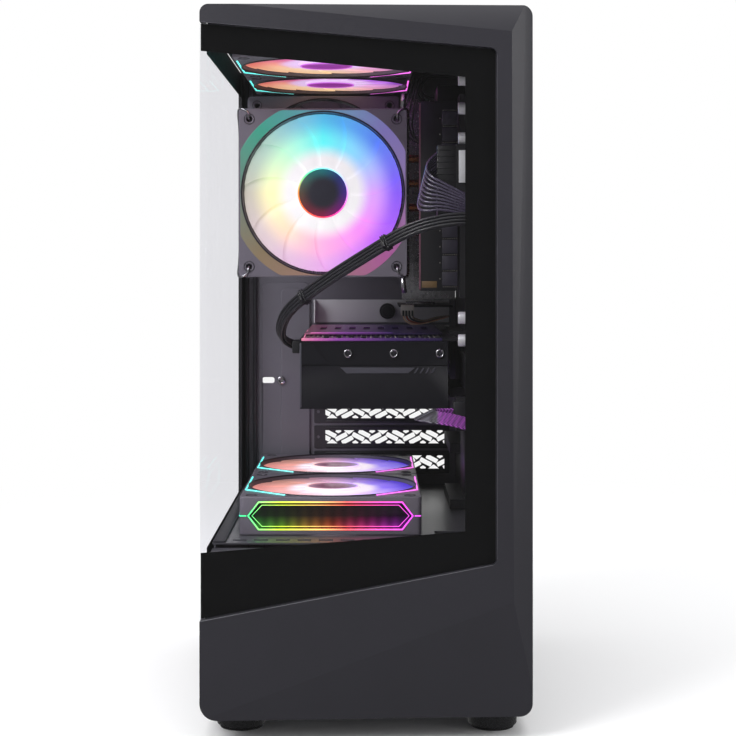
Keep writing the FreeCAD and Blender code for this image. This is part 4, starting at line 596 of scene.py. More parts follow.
def glow_round(name, centre, face, core, inner, outer, radii, strength, rough=0.35, base=0.5):
    """Frosted plastic lit round an axle: a core colour, then two rings of colours by radius."""
    made, tree = new_material(name)
    tilt = on_face(face, 0).to_euler()
    local = add(tree, "Mapping", {0: object_place(tree), "Location": Vector(centre) * MM,
                                  "Rotation": tilt}, vector_type="TEXTURE")
    around = add(tree, "TexGradient", {0: local.outputs[0]}, gradient_type="RADIAL").outputs["Fac"]
    near = by_share(tree, around, colour_ring(inner))
    far = by_share(tree, around, colour_ring(outer))
    flat = add(tree, "VectorMath", {0: local.outputs[0], 1: (1, 1, 0)}, operation="MULTIPLY")
    radius = add(tree, "VectorMath", {0: flat.outputs[0]}, operation="LENGTH").outputs["Value"]
    leave = share_of(tree, radius, radii[0], radii[1], "SMOOTHSTEP")
    reach = share_of(tree, radius, radii[1], radii[2], "SMOOTHSTEP")
    warm = add(tree, "MixRGB", {0: leave, 1: linear(core), 2: near}).outputs[0]
    full = add(tree, "MixRGB", {0: reach, 1: warm, 2: far}).outputs[0]
    skin = add(tree, "MixRGB", {0: base, 1: linear("000000"), 2: full}).outputs[0]
    shader = add(tree, "BsdfPrincipled", {"Base Color": skin, "Roughness": rough,
                                          "Emission Color": full, "Emission Strength": strength})
    add(tree, "OutputMaterial", {"Surface": shader.outputs[0]})
    return made


def glow_across(name, start, end, stops, strength):
    """A light strip whose colour changes along the tower's width."""
    made, tree = new_material(name)
    local = add(tree, "SeparateXYZ", {0: object_place(tree)})
    share = share_of(tree, local.outputs["X"], start, end)
    colour = by_share(tree, share, [(at, linear(tone)) for at, tone in stops])
    shader = add(tree, "BsdfPrincipled", {"Base Color": colour, "Roughness": 0.3,
                                          "Emission Color": colour, "Emission Strength": strength})
    add(tree, "OutputMaterial", {"Surface": shader.outputs[0]})
    return made

# %% [markdown]
# ## Fan frames
# A case fan is a square moulding with a round bore, four screw holes, and a motor seat on four
# struts. It is drawn once, lying on its back at the origin with the open face up, and copied to the
# six places where the frame has one.

# %% The fan moulding
FAN_HALF = 60.0
FAN_DEPTH = 25.0
BORE = 57.5
HOLE_OFFSET = 52.5
HUB_RADIUS = 19.0
SEAT_DEPTH = 3.5
STRUT_HALF = 2.2
SCREW_HOLE = 2.2
HEX_LONG = 55.0
HEX_FLAT = 48.0
HEX_TALL = 9.6
# The frame is black-grey nylon. Its lighter grey here is painted light: the fans' own glow falling
# on it.
fan_frame_painted_glow = grained("black fan frame nylon painted grey as glow light", ("6b6671", "625d68"), (0.34, 0.48), 0.8, 0.02)
# Near black, for the screw-hole rims and the screw sockets, and for the ring at the bore's edge,
# which is painted shadow.
dark_plastic_and_shadow = grained("dark plastic and painted bore shadow", ("24222a", "1c1a22"), (0.3, 0.4), 0.8, 0.01)
CORNERS = [(x * HOLE_OFFSET, y * HOLE_OFFSET) for x in (-1, 1) for y in (-1, 1)]


def fan_moulding():
    """The frame of one fan with its open face up and its back at height 0."""
    outline = oblong(-FAN_HALF, -FAN_HALF, FAN_HALF, FAN_HALF, 3.0)
    holes = [ring(x, y, SCREW_HOLE, 16) for x, y in CORNERS]
    shell = sheet("fan_shell", [outline, ring(0, 0, BORE, 96)] + holes, "top", 0, FAN_DEPTH, 0.5)
    seat = rod("motor_seat", (0, 0, 0), (0, 0, SEAT_DEPTH), HUB_RADIUS, 48, 0.6)
    arm = block("strut", (12, -STRUT_HALF, 0.2), (BORE + 0.8, STRUT_HALF, SEAT_DEPTH), 0.8)
    struts = turned(arm, 4, (0, 0, 0), (0, 0, 1))
    return join("fan_moulding", [shell, seat, struts])


def side_window(side):
    """A hexagon on one side of the frame: 110 mm long and 19 mm tall, with pointed ends."""
    points = [(-HEX_LONG, 0), (-HEX_FLAT, -HEX_TALL), (HEX_FLAT, -HEX_TALL), (HEX_LONG, 0),
              (HEX_FLAT, HEX_TALL), (-HEX_FLAT, HEX_TALL)]
    return [(x * side, y * side) for x, y in points]


WINDOW_DEEP = 1.1


def cut_window(piece, face):
    """Sinks the hexagon into a side of the moulding."""
    points = [(x, y + FAN_DEPTH / 2) for x, y in side_window(1.0)]
    cutter = sheet("window_cutter", [points], face, FAN_HALF - WINDOW_DEEP, 2 * WINDOW_DEEP)
    return cut(piece, cutter)


plain_frame = fan_moulding()
lit_frame = copies(plain_frame, [(0, 0, 0)])[0]
for face in ("front", "left"):
    lit_frame = cut_window(lit_frame, face)
soften(lit_frame, 0.0)
print("fan frame", len(plain_frame.data.polygons), "and with windows", len(lit_frame.data.polygons))

# %% [markdown]
# ## Blades
# A blade is a swept line turned and lifted at once, as a screw thread is, and then given a wall.
# The eleven blades overlap as seen from the front, so the light makes one unbroken disc.

# %% The rotor
BLADES = 11
STEEP = (8.0, 15.4)  # where a blade of a standing fan starts, and how far it climbs
SHALLOW = (19.0, 3.8)
BLADE_TURN = 60.0
BLADE_TIP = 56.2
BLADE_SWEEP = 16.0
HUB_LOW = 4.6
HUB_TOP = 24.2


def fan_blades(low, rise):
    """Eleven pitched blades on a hub collar, standing on their axle at the origin."""
    steps = 7
    drawing = bpy.data.curves.new("blade", "CURVE")
    drawing.dimensions = "3D"
    spline = drawing.splines.new("POLY")
    spline.points.add(steps)
    for index, point in enumerate(spline.points):
        share = index / steps
        radius = HUB_RADIUS - 1.0 + (BLADE_TIP - HUB_RADIUS + 1.0) * share
        angle = math.radians(BLADE_SWEEP * share * share)
        point.co = (radius * math.cos(angle) * MM, radius * math.sin(angle) * MM, low * MM, 1.0)
    blade = bpy.data.objects.new("blade", drawing)
    scene.collection.objects.link(blade)
    pick(blade)
    bpy.ops.object.convert(target="MESH")
    screw = blade.modifiers.new("turn and lift", "SCREW")
    screw.angle = math.radians(BLADE_TURN)
    screw.screw_offset = rise * MM
    screw.steps = 9
    screw.render_steps = 9
    screw.use_merge_vertices = True
    bpy.ops.object.modifier_apply(modifier=screw.name)
    for vertex in blade.data.vertices:  # it climbs steeply at first and lies flatter at its top
        share = (vertex.co.z / MM - low) / rise
        vertex.co.z = (low + rise * (1 - (1 - share) ** 3)) * MM
    wall = blade.modifiers.new("wall", "SOLIDIFY")
    wall.thickness = 1.0 * MM
    wall.offset = -1
    bpy.ops.object.modifier_apply(modifier=wall.name)
    blades = turned(blade, BLADES, (0, 0, 0), (0, 0, 1))
    pick(blades)
    bpy.ops.object.mode_set(mode="EDIT")
    bpy.ops.mesh.select_all(action="SELECT")
    bpy.ops.mesh.normals_make_consistent(inside=False)
    bpy.ops.object.mode_set(mode="OBJECT")
    bpy.ops.object.shade_smooth_by_angle(angle=math.radians(40))
    walls = [ring(0, 0, radius, 64) for radius in (HUB_RADIUS, HUB_RADIUS - 1.2)]
    collar = sheet("collar", walls, "top", HUB_LOW, 19.2, 0.3)
    return join("fan_blades", [blades, collar])


def round_wire(name, x, y, height, radius, thickness, count):
    """A wire bent to a circle that lies flat at a height."""
    points = [(x + u, y + v, height) for u, v in ring(0, 0, radius, count)]
    return wire(name, points, thickness, closed=True)


steep_blades = fan_blades(*STEEP)
flat_blades = fan_blades(*SHALLOW)
hub = rod("fan_hub", (0, 0, HUB_LOW), (0, 0, HUB_TOP), HUB_RADIUS - 1.6, 64, 1.0)
hub_ring = round_wire("hub_ring", 0, 0, HUB_TOP - 0.2, HUB_RADIUS - 1.5, 0.5, 72)
print("rotor", len(steep_blades.data.polygons), "faces")

# %% [markdown]
# ## Strips and rings of light
# The case fans carry a light line along each side of the open face, bent like a chevron, and a
# mirror-backed hexagon on the sides that face out. The cooler's fan and the rear fan have a frosted
# ring round the bore instead, cut off where the square frame ends.

# %% Light strips on a fan
CHEVRON = [(-30.5, -52.6), (-58.2, -27.0), (-58.2, 39.0)]
RING_REACH = 66.0
RING_CUT = 58.8


def clipped_ring(count=192):
    """A circle whose four sides are cut off flat by the frame."""
    points = []
    for step in range(count):
        angle = 2 * math.pi * step / count
        across = max(abs(math.cos(angle)), abs(math.sin(angle)))
        radius = min(RING_REACH, RING_CUT / across)
        points.append((radius * math.cos(angle), radius * math.sin(angle)))
    return points


chevrons = []
for side in (1, -1):
    chevrons.append(wire("chevron", [(x * side, y, FAN_DEPTH + 0.1) for x, y in CHEVRON], 0.55))
chevrons = join("chevrons", chevrons)
diffuser = sheet("diffuser", [clipped_ring(), ring(0, 0, BORE + 1.0, 96)], "top",
                 FAN_DEPTH - 0.6, 0.8, 0.2)
# This dark ring at the bore's edge is painted shadow, the shade where the bore's wall meets the open
# face.
bore_lip = round_wire("bore_lip", 0, 0, FAN_DEPTH + 0.1, BORE + 0.5, 0.6, 96)
hole_rims = join("hole_rims", [round_wire("hole_rim", x, y, FAN_DEPTH, 3.6, 0.35, 24)
                               for x, y in CORNERS])


def hexagon_bead(inset, radius, deep):
    """A line of light round the hexagon, inset from its edge, on the front side of the fan."""
    scale_x = (HEX_LONG - inset * 1.25) / HEX_LONG
    scale_y = (HEX_TALL - inset) / HEX_TALL
    y = -(FAN_HALF - deep)
    points = [(u * scale_x, y, v * scale_y + FAN_DEPTH / 2) for u, v in side_window(1.0)]
    return wire("hexagon_line", points, radius, closed=True, sides=2)


outer_line = hexagon_bead(0.6, 0.55, 0.2)
inner_line = hexagon_bead(2.6, 0.22, 0.7)
side_tails = [wire("tail", [(side * reach, -FAN_HALF, FAN_DEPTH / 2) for reach in (55.4, 59.6)], 0.4)
              for side in (-1, 1)]
hexagon_lines = join("hexagon_lines", [outer_line, inner_line] + side_tails)
mirror_points = [(x, y + FAN_DEPTH / 2) for x, y in side_window(0.995)]
hexagon_mirror = sheet("hexagon_mirror", [mirror_points], "front",
                       FAN_HALF - WINDOW_DEEP - 0.1, 0.3)
print("strips", len(hexagon_lines.data.polygons))

# %% [markdown]
# ## Six fans in place
# Each fan asks the frame for its box, and the parts drawn above are copied to it. Every fan gets
# its own glow, because its colours are laid round its own axle.

# %% Colours of each fan
RAINBOW = [(0.0, "3fe08a"), (0.2, "c8e83a"), (0.42, "ffc26a"), (0.6, "ff5a5a"), (0.8, "ff4fb8"),
           (1.0, "d94fe0")]
TEAL_TO_PINK = [(0.0, "5fe8dc"), (0.46, "8fe6e0"), (0.54, "e06fe0"), (1.0, "ee6be2")]
COOLER_NEAR = ("f4eeb4", "f6d8bc", "f4a8d8", "f08cf0", "d8a0ff", "8fd0ff", "5ff4f4", "bff2cc")
COOLER_FAR = ("b9b4a6", "d2bcc6", "dfa6e0", "bb62f2", "8a5cf8", "5b86f4", "52bce6", "9fc6ba")
COOLER_RING = ("71877c", "8d7a5e", "a57c74", "b45ea0", "a184b8", "8a80c8", "6fb0c8", "3da58c")
# Floor fans: towards the tower's back the rings turn tan and brown, which is painted shade and a
# painted reflection of the bore's wall.
FLOOR_NEAR = ("eea49c", "f6bcc0", "fbe2f6", "d9b8ff", "7f5cf4", "8a68e8", "c79ac0", "d99a8c")
FLOOR_FAR = ("d88a84", "ea9a9c", "f3c4e6", "9e66f2", "4a26d8", "553ccc", "94748e", "a67a70")
# Roof fans: the dark magenta towards the tower's back is painted shade.
ROOF_NEAR = ("f09a86", "f7cfa8", "f8d4b8", "f0b2d2", "d08af0", "b05ae0", "c03ab4", "cc4a92")
ROOF_FAR = ("d8685e", "f0b890", "f6cf9e", "e49ac0", "8a3cc0", "5c249a", "8e2484", "a03468")
DARK_FAN = ("45414f",) * EIGHTHS

FANS = {  # which way each fan faces, its core, near and far colours, and how strongly it glows
    "cpu_fan": ("front", "e8e6e8", COOLER_NEAR, COOLER_FAR, 0.82),
    "rear_fan": ("front", "3a3842", DARK_FAN, DARK_FAN, 0.05),
    "bottom_front_fan": ("top", "f6e6f2", FLOOR_NEAR, FLOOR_FAR, 0.85),
    "bottom_rear_fan": ("top", "f6e6f2", FLOOR_NEAR, FLOOR_FAR, 0.85),
    "top_front_fan": ("under", "e6c4f2", ROOF_NEAR, ROOF_FAR, 0.9),
    "top_rear_fan": ("under", "e6c4f2", ROOF_NEAR, ROOF_FAR, 0.9),
}
# Colours and fade of the light line's reflection in the smoked mirror, painted on as a glow.
MIRRORED = [(0.0, "1f9a3c"), (0.2, "6aa02c"), (0.36, "b0803a"), (0.52, "c04a38"), (0.7, "c0307a"),
            (0.86, "a028a0"), (1.0, "7a1f9a")]
MIRROR_FADE = ((0.0, 0.02), (0.14, 0.75), (0.3, 0.36), (0.5, 0.05), (0.86, 0.02), (1.0, 0.14))
MIRROR_LONG = 52.0
MIRROR_TALL = 9.4


def mirror_with_painted_reflection(name, side, middle):
    """Smoked mirror acrylic, with the light line's reflection painted on as a glow: brightest low
    down, fading upward.
    """
    made, tree = new_material(name)
    local = add(tree, "SeparateXYZ", {0: object_place(tree)})
    axis, centre = ("X", middle.x) if side == "front" else ("Y", middle.y)
    share = share_of(tree, local.outputs[axis], centre - MIRROR_LONG, centre + MIRROR_LONG)
    tones = MIRRORED if side == "front" else TEAL_TO_PINK
    colour = by_share(tree, share, [(at, linear(tone)) for at, tone in tones])
    rise = share_of(tree, local.outputs["Z"], middle.z - MIRROR_TALL, middle.z + MIRROR_TALL)
    fade = by_share(tree, rise, [(at, (level, level, level, 1)) for at, level in MIRROR_FADE])
    segments = add(tree, "TexWave", {"Vector": object_place(tree), "Scale": 42.0},
                   bands_direction=axis)
    soft = add(tree, "MapRange", {0: segments.outputs["Fac"], 3: 0.55, 4: 1.0})
    lit = add(tree, "Math", {0: fade, 1: soft.outputs[0]}, operation="MULTIPLY")
    strength = lit.outputs[0] if side == "front" else 0.02
    shader = add(tree, "BsdfPrincipled", {"Base Color": linear("08070a"), "Roughness": 0.12,
                                          "Emission Color": colour, "Emission Strength": strength})
    add(tree, "OutputMaterial", {"Surface": shader.outputs[0]})
    return made


def fan_stand(name, face):
    """The matrix that carries a fan from the origin to its box, its back on the far side."""
    low, high = box_mm(name + "_frame")
    middle = (low + high) / 2
    look = Vector(FACES[face][2])
    back = middle - look * FAN_DEPTH / 2
    return Matrix.Translation(back * MM) @ on_face(face, 0), middle


def stand_copy(piece, name, stand):
    """A copy of a piece drawn at the origin, carried to its place."""
    copy = copies(piece, [(0, 0, 0)])[0]
    copy.data.transform(stand)
    copy.name = name
    return copy


HUB_RIM = ("5a4a3a", "7a2a3a", "8a1a4a", "7a1a7a", "4a2a90", "2a3a80", "1f7a80", "2a6a60")
RING_COLOURS = ("f08a3a", "ff6a3a", "ff3a5a", "ff3ac0", "e6a0ff", "b8e0ff", "8affff", "5affa0")
FLOOR_HUB = ("b98aa8", "c89ab0", "d8b0c8", "c8a0d0", "a080c8", "a888c0", "a87898", "a87888")
FLOOR_RING = ("f0c8c0", "f6d0d0", "fff0fa", "f0d0ff", "c8a8ff", "c8a0f0", "d8a8d0", "e0a8b0")
# The caps are black: their tints and their glow are painted light from the ring round each hub, all
# but the dark middle of the front caps.
HUBS = {  # the cap's middle, the cap's rim, and the ring of light round it
    "front": ("2b2a35", HUB_RIM, RING_COLOURS),
    "top": ("8a5670", FLOOR_HUB, FLOOR_RING),
    "under": ("a83cae", ("b84ab8",) * EIGHTHS, ("c060d0",) * EIGHTHS),
}


def hub_shade(name, centre, face):
    """The cap of a hub, with the ring of light round it painted on as a tint and a glow, most at its
    rim.
    """
    core, rim, _ = HUBS[face]
    middle = (core,) * EIGHTHS
    return glow_round(name, centre, face, core, middle, rim, (2, 8, 17.5), 0.62, 0.3, 0.35)


def dress_fan(name, face, core, near, far, strength):
    """Puts one whole fan in place: frame, light strips, hub and blades."""
    stand, middle = fan_stand(name, face)
    case_body = body_of_node[name + "_frame"]
    spin_body = body_of_node[name + "_rotor"]
    stands_up = face == "front"
    frame_piece = stand_copy(plain_frame if stands_up else lit_frame, name + "_moulding", stand)
    place(frame_piece, fan_frame_painted_glow, case_body, "black_plastic", [name + "_frame"])
    # The dark ring round the bore is painted shadow.
    for drawn, title in ((bore_lip, "_bore_lip"), (hole_rims, "_hole_rims")):
        place(stand_copy(drawn, name + title, stand), dark_plastic_and_shadow, case_body, "black_plastic")
    if name == "cpu_fan":
        frost = glow_round("frosted diffuser " + name, middle, face, "b8b8b8", COOLER_RING,
                           COOLER_RING, (10, 20, 62), 0.55, 0.4, 0.4)
        place(stand_copy(diffuser, name + "_light_ring", stand), frost, case_body, "fan_blade")
    if not stands_up:
        low, high = box_mm(name + "_frame")
        strip = glow_across("frosted light strip " + name, low.x, high.x, TEAL_TO_PINK, 1.6)
        place(stand_copy(chevrons, name + "_chevrons", stand), strip, case_body, "fan_blade")
        dress_hexagons(name, middle, case_body)
    glow = glow_round("frosted blades " + name, middle, face, core, near, far, (24, 36, 53),
                      strength)
    blades = stand_copy(steep_blades if stands_up else flat_blades, name + "_blades", stand)
    place(blades, glow, spin_body, "fan_blade", [name + "_rotor"])
    cap = hub_shade("hub cap with painted ring light " + name, middle, face)
    place(stand_copy(hub, name + "_hub", stand), cap, spin_body, "black_plastic")
    ring_colours = DARK_FAN if name == "rear_fan" else HUBS[face][2]
    bright = glow_round("hub light ring " + name, middle, face, "ffffff", ring_colours,
                        ring_colours, (2, 10, 19), 1.1)
    place(stand_copy(hub_ring, name + "_hub_ring", stand), bright, spin_body, "fan_blade")


def dress_hexagons(name, middle, body):
    """The mirrored hexagons on the front and on the left side of a case fan."""
    drop = Matrix.Translation((middle - Vector((0, 0, FAN_DEPTH / 2))) * MM)
    quarter = Matrix.Rotation(-math.pi / 2, 4, "Z")
    line = glow_across("hexagon light " + name, middle.x - HEX_LONG, middle.x + HEX_LONG,
                       RAINBOW, 1.5)
    teal_line = glow_across("hexagon light left " + name, middle.x - FAN_HALF,
                            middle.x + FAN_HALF, TEAL_TO_PINK, 0.2)
    for side, turn, light in (("front", Matrix.Identity(4), line), ("left", quarter, teal_line)):
        stand = drop @ turn
        pane = stand_copy(hexagon_mirror, f"{name}_{side}_mirror", stand)
        smoked = mirror_with_painted_reflection(f"smoked mirror {side} {name}", side, middle)
        place(pane, smoked, body, "black_plastic")
        place(stand_copy(hexagon_lines, f"{name}_{side}_light", stand), light, body, "fan_blade")


for fan_name, (face, core, near, far, strength) in FANS.items():
    dress_fan(fan_name, face, core, near, far, strength)
for master in (plain_frame, lit_frame, steep_blades, flat_blades, hub, hub_ring, chevrons,
               diffuser, bore_lip, hole_rims, hexagon_lines, hexagon_mirror):
    bpy.data.objects.remove(master)

# %% [markdown]
# ## Bezel and glass
# The bezel is one moulding with a slanted window. Its facets are exact in the frame, so it is kept
# as it is, merged, and only its edges are rounded: a moulded edge is never sharp, and that radius
# catches a thin line of light round the window, to which a painted highlight bead is added below.

# %% Bezel
bezel = from_node("bezel_moulding", "front_bezel", 0.7, 3, 12.0)
place(bezel, bezel_abs, body_of_node["front_bezel"], "bezel_plastic", ["front_bezel"])

# %% [markdown]
# ## Enamel bands
# Behind both panes a black band hides the frame. On the front it follows the slanted window along
# three sides and leaves the left edge open, so that the two panes look like one that turns the
# corner.

# %% Enamel behind the panes
pane_low, pane_high = box_mm("front_glass")
CLEAR_RIGHT = 62.0
CLEAR_TOP = (436.0, 419.6)  # the heights of the clear part's upper edge, left and right
CLEAR_LOW = (119.7, 133.3)
PANE_TOP = (453.0, 436.9)
PANE_LOW = (78.3, 113.6)
GLASS_GAP = 0.3
ENAMEL_INSET = 0.4
left_edge = pane_low.x + ENAMEL_INSET
right_edge = pane_high.x - ENAMEL_INSET
band = [(left_edge, PANE_TOP[0]), (left_edge, CLEAR_TOP[0]), (CLEAR_RIGHT, CLEAR_TOP[1]),
        (CLEAR_RIGHT, CLEAR_LOW[1]), (left_edge, CLEAR_LOW[0]), (left_edge, PANE_LOW[0]),
        (right_edge, PANE_LOW[1]), (right_edge, PANE_TOP[1])]
front_band = sheet("front_enamel", [band], "front", -pane_high.y - GLASS_GAP, 0.2)
place(front_band, enamel, body_of_node["front_glass"], "clear_glass")
side_low, side_high = box_mm("left_glass")
SIDE_TOP = 434.0
SIDE_LOW = 123.0
SIDE_BACK = 122.0
near_edge = -side_low.y - ENAMEL_INSET
far_edge = -side_high.y + ENAMEL_INSET
upper_edge = side_high.z - ENAMEL_INSET
lower_edge = side_low.z + ENAMEL_INSET
side_band = [(near_edge, upper_edge), (far_edge, upper_edge), (far_edge, lower_edge),
             (near_edge, lower_edge), (near_edge, SIDE_LOW), (-SIDE_BACK, SIDE_LOW),
             (-SIDE_BACK, SIDE_TOP), (near_edge, SIDE_TOP)]
left_band = sheet("side_enamel", [side_band], "left", -side_high.x - GLASS_GAP, 0.2)
place(left_band, enamel, body_of_node["left_glass"], "clear_glass")

# %% [markdown]
# ## Rear panel
# The rear sheet is stamped: two nested pads stand proud of it beside the slots, which stiffens it,
# and a slotted hole with a screw holds the slot covers' clamp.

# %% Stamped pads on the rear panel
SHEET_FRONT = 139.0
PAD_STEP = 1.3
PAD_LOW = 129.0
PAD_RIGHT = -46.5
CLAMP_HEIGHT = 207.7
CLAMP_X = -69.5
SLOT_X = -80.0
outer_pad = oblong(-85.3, PAD_LOW, PAD_RIGHT, 286.8, 5.0)
inner_pad = oblong(-69.9, PAD_LOW, PAD_RIGHT, 282.0, 5.0)
slotted = [(x + SLOT_X, z + CLAMP_HEIGHT) for x, z in oblong(-5.2, -2.4, 5.2, 2.4, 2.3)]
deck_steel = grained("glossy grey coated deck", ("4b4a51", "403f46"), (0.30, 0.42), 0.7, 0.01,
                     coat=0.12)
stamp_one = sheet("outer_stamping", [outer_pad, slotted], "front", -SHEET_FRONT, PAD_STEP, 0.6)
stamp_two = sheet("inner_stamping", [inner_pad], "front", -SHEET_FRONT + PAD_STEP - 0.1,
                  PAD_STEP, 0.6)
pads = join("rear_stamping", [stamp_one, stamp_two])
place(pads, powder_grey, "case", "black_steel")
clamp_screw = rod("clamp_screw", (CLAMP_X, 138.0, CLAMP_HEIGHT), (CLAMP_X, 134.5, CLAMP_HEIGHT),
                  3.4, 24, 1.0)
recess = rod("driver_recess", (CLAMP_X, 136.0, CLAMP_HEIGHT), (CLAMP_X, 134.0, CLAMP_HEIGHT),
             1.4, 6)
clamp_screw = cut(clamp_screw, recess)
place(clamp_screw, nickel, "case", "bright_metal")
posts = []
for x in (-97.2, -90.8):
    posts.append(block("corner_fold", (x - 1.6, 134.6, 124.4), (x + 1.6, 138.9, 461.0), 0.8))
place(join("corner_folds", posts), powder_black, "case", "black_steel")
# The deck's left edge carries a black strip, and a short apron fills the space behind the enamel.
lip = block("deck_lip", (-98.8, -134.8, 123.0), (-90.6, 138.8, 124.3), 0.4)
place(lip, powder_black, "case", "black_steel")
apron = block("deck_apron", (-98.8, -152.4, 118.6), (62.0, -136.2, 120.0), 0.3)
APRON_SLOTS = [-88.0 + 12.0 * step for step in range(12)]
slots = [block("slot", (x, -147.0, 118.0), (x + 8.0, -145.0, 121.0)) for x in APRON_SLOTS]
place(cut(apron, join("slots", slots)), deck_steel, "case", "black_steel")

# %% [markdown]
# ## Slot covers
# Each blank cover is a pressed plate with a woven window. The openings lie in two directions, like
# straps that cross over and under, and each half of the pattern is the other turned over.

# %% The woven window
WEAVE_PERIOD = 27.3
WEAVE_ANGLE = math.radians(27)
WEAVE_PHASE = 7.9
WINDOW_HALF = 5.3


def slanted(x, z, length, width, angle):
    """A small rounded opening, laid at a slant."""
    turn = Matrix.Rotation(angle, 2)
    flat = oblong(-length / 2, -width / 2, length / 2, width / 2)
    corners = [turn @ Vector(corner) for corner in flat]
    return rounded([(x + corner.x, z + corner.y) for corner in corners], 0.7, 3)


def clipped(points, axis, limit, keep_below):
    """The part of an outline on one side of a line."""
    made = []
    for index, point in enumerate(points):
        before = points[index - 1]
        inside = (point[axis] <= limit) == keep_below
        was_inside = (before[axis] <= limit) == keep_below
        if inside != was_inside:
            share = (limit - before[axis]) / (point[axis] - before[axis])
            made.append(tuple(old + (new - old) * share for old, new in zip(before, point)))
        if inside:
            made.append(point)
    return made


def weave_half(start, flip):
    """The four openings of half a period."""
    edge = 6.2 * flip
    shapes = [
        slanted(start + 4.9, 0.0, 10.3, 3.7, WEAVE_ANGLE * flip),
        slanted(start + 9.9, -2.6 * flip, 10.0, 3.6, WEAVE_ANGLE * flip),
        rounded([(start - 0.2, 4.4 * flip), (start + 2.6, 2.7 * flip), (start + 5.4, 4.6 * flip),
                 (start + 2.6, 6.4 * flip)], 0.4, 2),
        rounded([(start - 8.0, -edge), (start - 2.5, -1.8 * flip), (start + 3.0, -edge)], 0.4, 2),
    ]
    return shapes


def woven_window(left, right, middle):
    """All the openings of one window."""
    openings = []
    start = left - WEAVE_PERIOD + WEAVE_PHASE
    flip = 1
    while start < right:
        for shape in weave_half(start, flip):
            for axis, limit, below in ((1, WINDOW_HALF, True), (1, -WINDOW_HALF, False),
                                       (0, right, True), (0, left, False)):
                shape = clipped(shape, axis, limit, below)
            if len(shape) > 2:
                openings.append([(x, z + middle) for x, z in shape])
        start += WEAVE_PERIOD / 2
        flip = -flip
    return openings


cover_low, cover_high = box_mm("slot_covers")
cover_back = -cover_high.y
COVER_TALL = 18.4
SLOT_PITCH = 20.32
WINDOW_LEFT = -34.0
WINDOW_RIGHT = 62.0
covers = []
for slot in range(4):
    middle = cover_high.z - COVER_TALL / 2 - slot * SLOT_PITCH
    outline = oblong(cover_low.x, middle - COVER_TALL / 2,
                     cover_high.x, middle + COVER_TALL / 2, 1.0)
    openings = woven_window(WINDOW_LEFT, WINDOW_RIGHT, middle)
    openings.append(ring(cover_low.x + 3.2, middle, 1.3, 12))
    covers.append(sheet("cover", [outline] + openings, "front", cover_back, 0.8))
    for edge_side in (-1, 1):
        z = middle + edge_side * 7.6
        covers.append(block("fold", (WINDOW_LEFT, 136.6, z - 0.5),
                            (WINDOW_RIGHT, 138.2, z + 0.5), 0.3))
place(join("woven_slot_covers", covers), powder_black, "case", "black_steel", ["slot_covers"])

# %% [markdown]
# ## Memory
# Two bare modules stand in their sockets with their chips towards the front. A module is a thin
# black board with a row of chips, rows of tiny capacitors between them, a paper label with no
# print, and a pink line down its edge that is a painted highlight.

# %% Memory modules
CHIP_PITCH = 11.3
CHIPS = 11
CAPACITORS_ACROSS = 7
BOARD_THICK = 1.3


def memory_module(node, name):
    """One module, its chips on the side that looks forward."""
    low, high = box_mm(node)
    corner = Vector((low.x, low.y + 0.9, low.z))

    def on_board(title, start, end, edge=0.0):
        """A block whose corners are measured from the lower corner of the board's face."""
        return block(title, corner + Vector(start), corner + Vector(end), edge)

    board = block(name + "_board", corner, (high.x - 2, corner.y + BOARD_THICK, high.z), 0.3)
    place(board, solder_mask, "case", "board_black", [node])
    chip = on_board("chip", (15.6, -1.0, 3.6), (26.4, 0.1, 13.2), 0.25)
    shifts = [(0, 0, CHIP_PITCH * step) for step in range(CHIPS)]
    place(row(name + "_chips", chip, shifts), chip_black, "case", "black_plastic")
    dots = row("dots", on_board("dot", (13.6, -0.5, 8.0), (14.4, 0.1, 8.8)), shifts)
    shifts = [(1.55 * column, 0, CHIP_PITCH * step) for step in range(CHIPS + 1)
              for column in range(CAPACITORS_ACROSS)]
    dashes = row("dashes", on_board("dash", (16.0, -0.5, 2.6), (17.0, 0.1, 2.95)), shifts)
    place(join(name + "_capacitors", [dots, dashes]), tin, "case", "bright_metal")
    label = on_board(name + "_label", (1.2, -0.3, 2.2), (11.8, 0.1, 6.8), 0.1)
    place(label, kraft_label, "case")
    # A thin pink line down the board's left edge: a painted highlight.
    rim = on_board(name + "_rim", (-0.1, -0.2, 0.6), (0.4, 1.5, 132.7), 0.1)
    place(rim, pink_edge_highlight, "case")
# A chip's package is moulded epoxy: charcoal with a violet cast and a faint sparkle of silica.
chip_black = grained("moulded epoxy chip package", ("2c2836", "26232f"), (0.4, 0.55), 0.5, 0.01)
pink_edge_highlight = grained("board edge with painted pink highlight", ("8a5a6a", "70485a"), (0.4, 0.5), 1.0, 0.01)
# Tinned solder joints and capacitor ends: a dull silver that has flowed, not been machined.
tin = grained("tinned solder ends", ("b8b4ae", "98928c"), (0.3, 0.5), 1.0, 0.01, metallic=0.8)
kraft_label = grained("blank bronze paper label", ("6d5434", "54401f"), (0.45, 0.6), 0.9, 0.01)
white_label = grained("blank white paper label", ("d8d8dc", "c4c4ca"), (0.5, 0.65), 0.9, 0.01)
memory_module("ram_module_1", "front_memory")
memory_module("ram_module_2", "rear_memory")

# %% [markdown]
# ## Graphics card
# The card hangs from its bracket with the shroud below the board. Its short end looks forward, so
# the moulding there carries the seams, a pale strip with four slashes and three ringed screws.

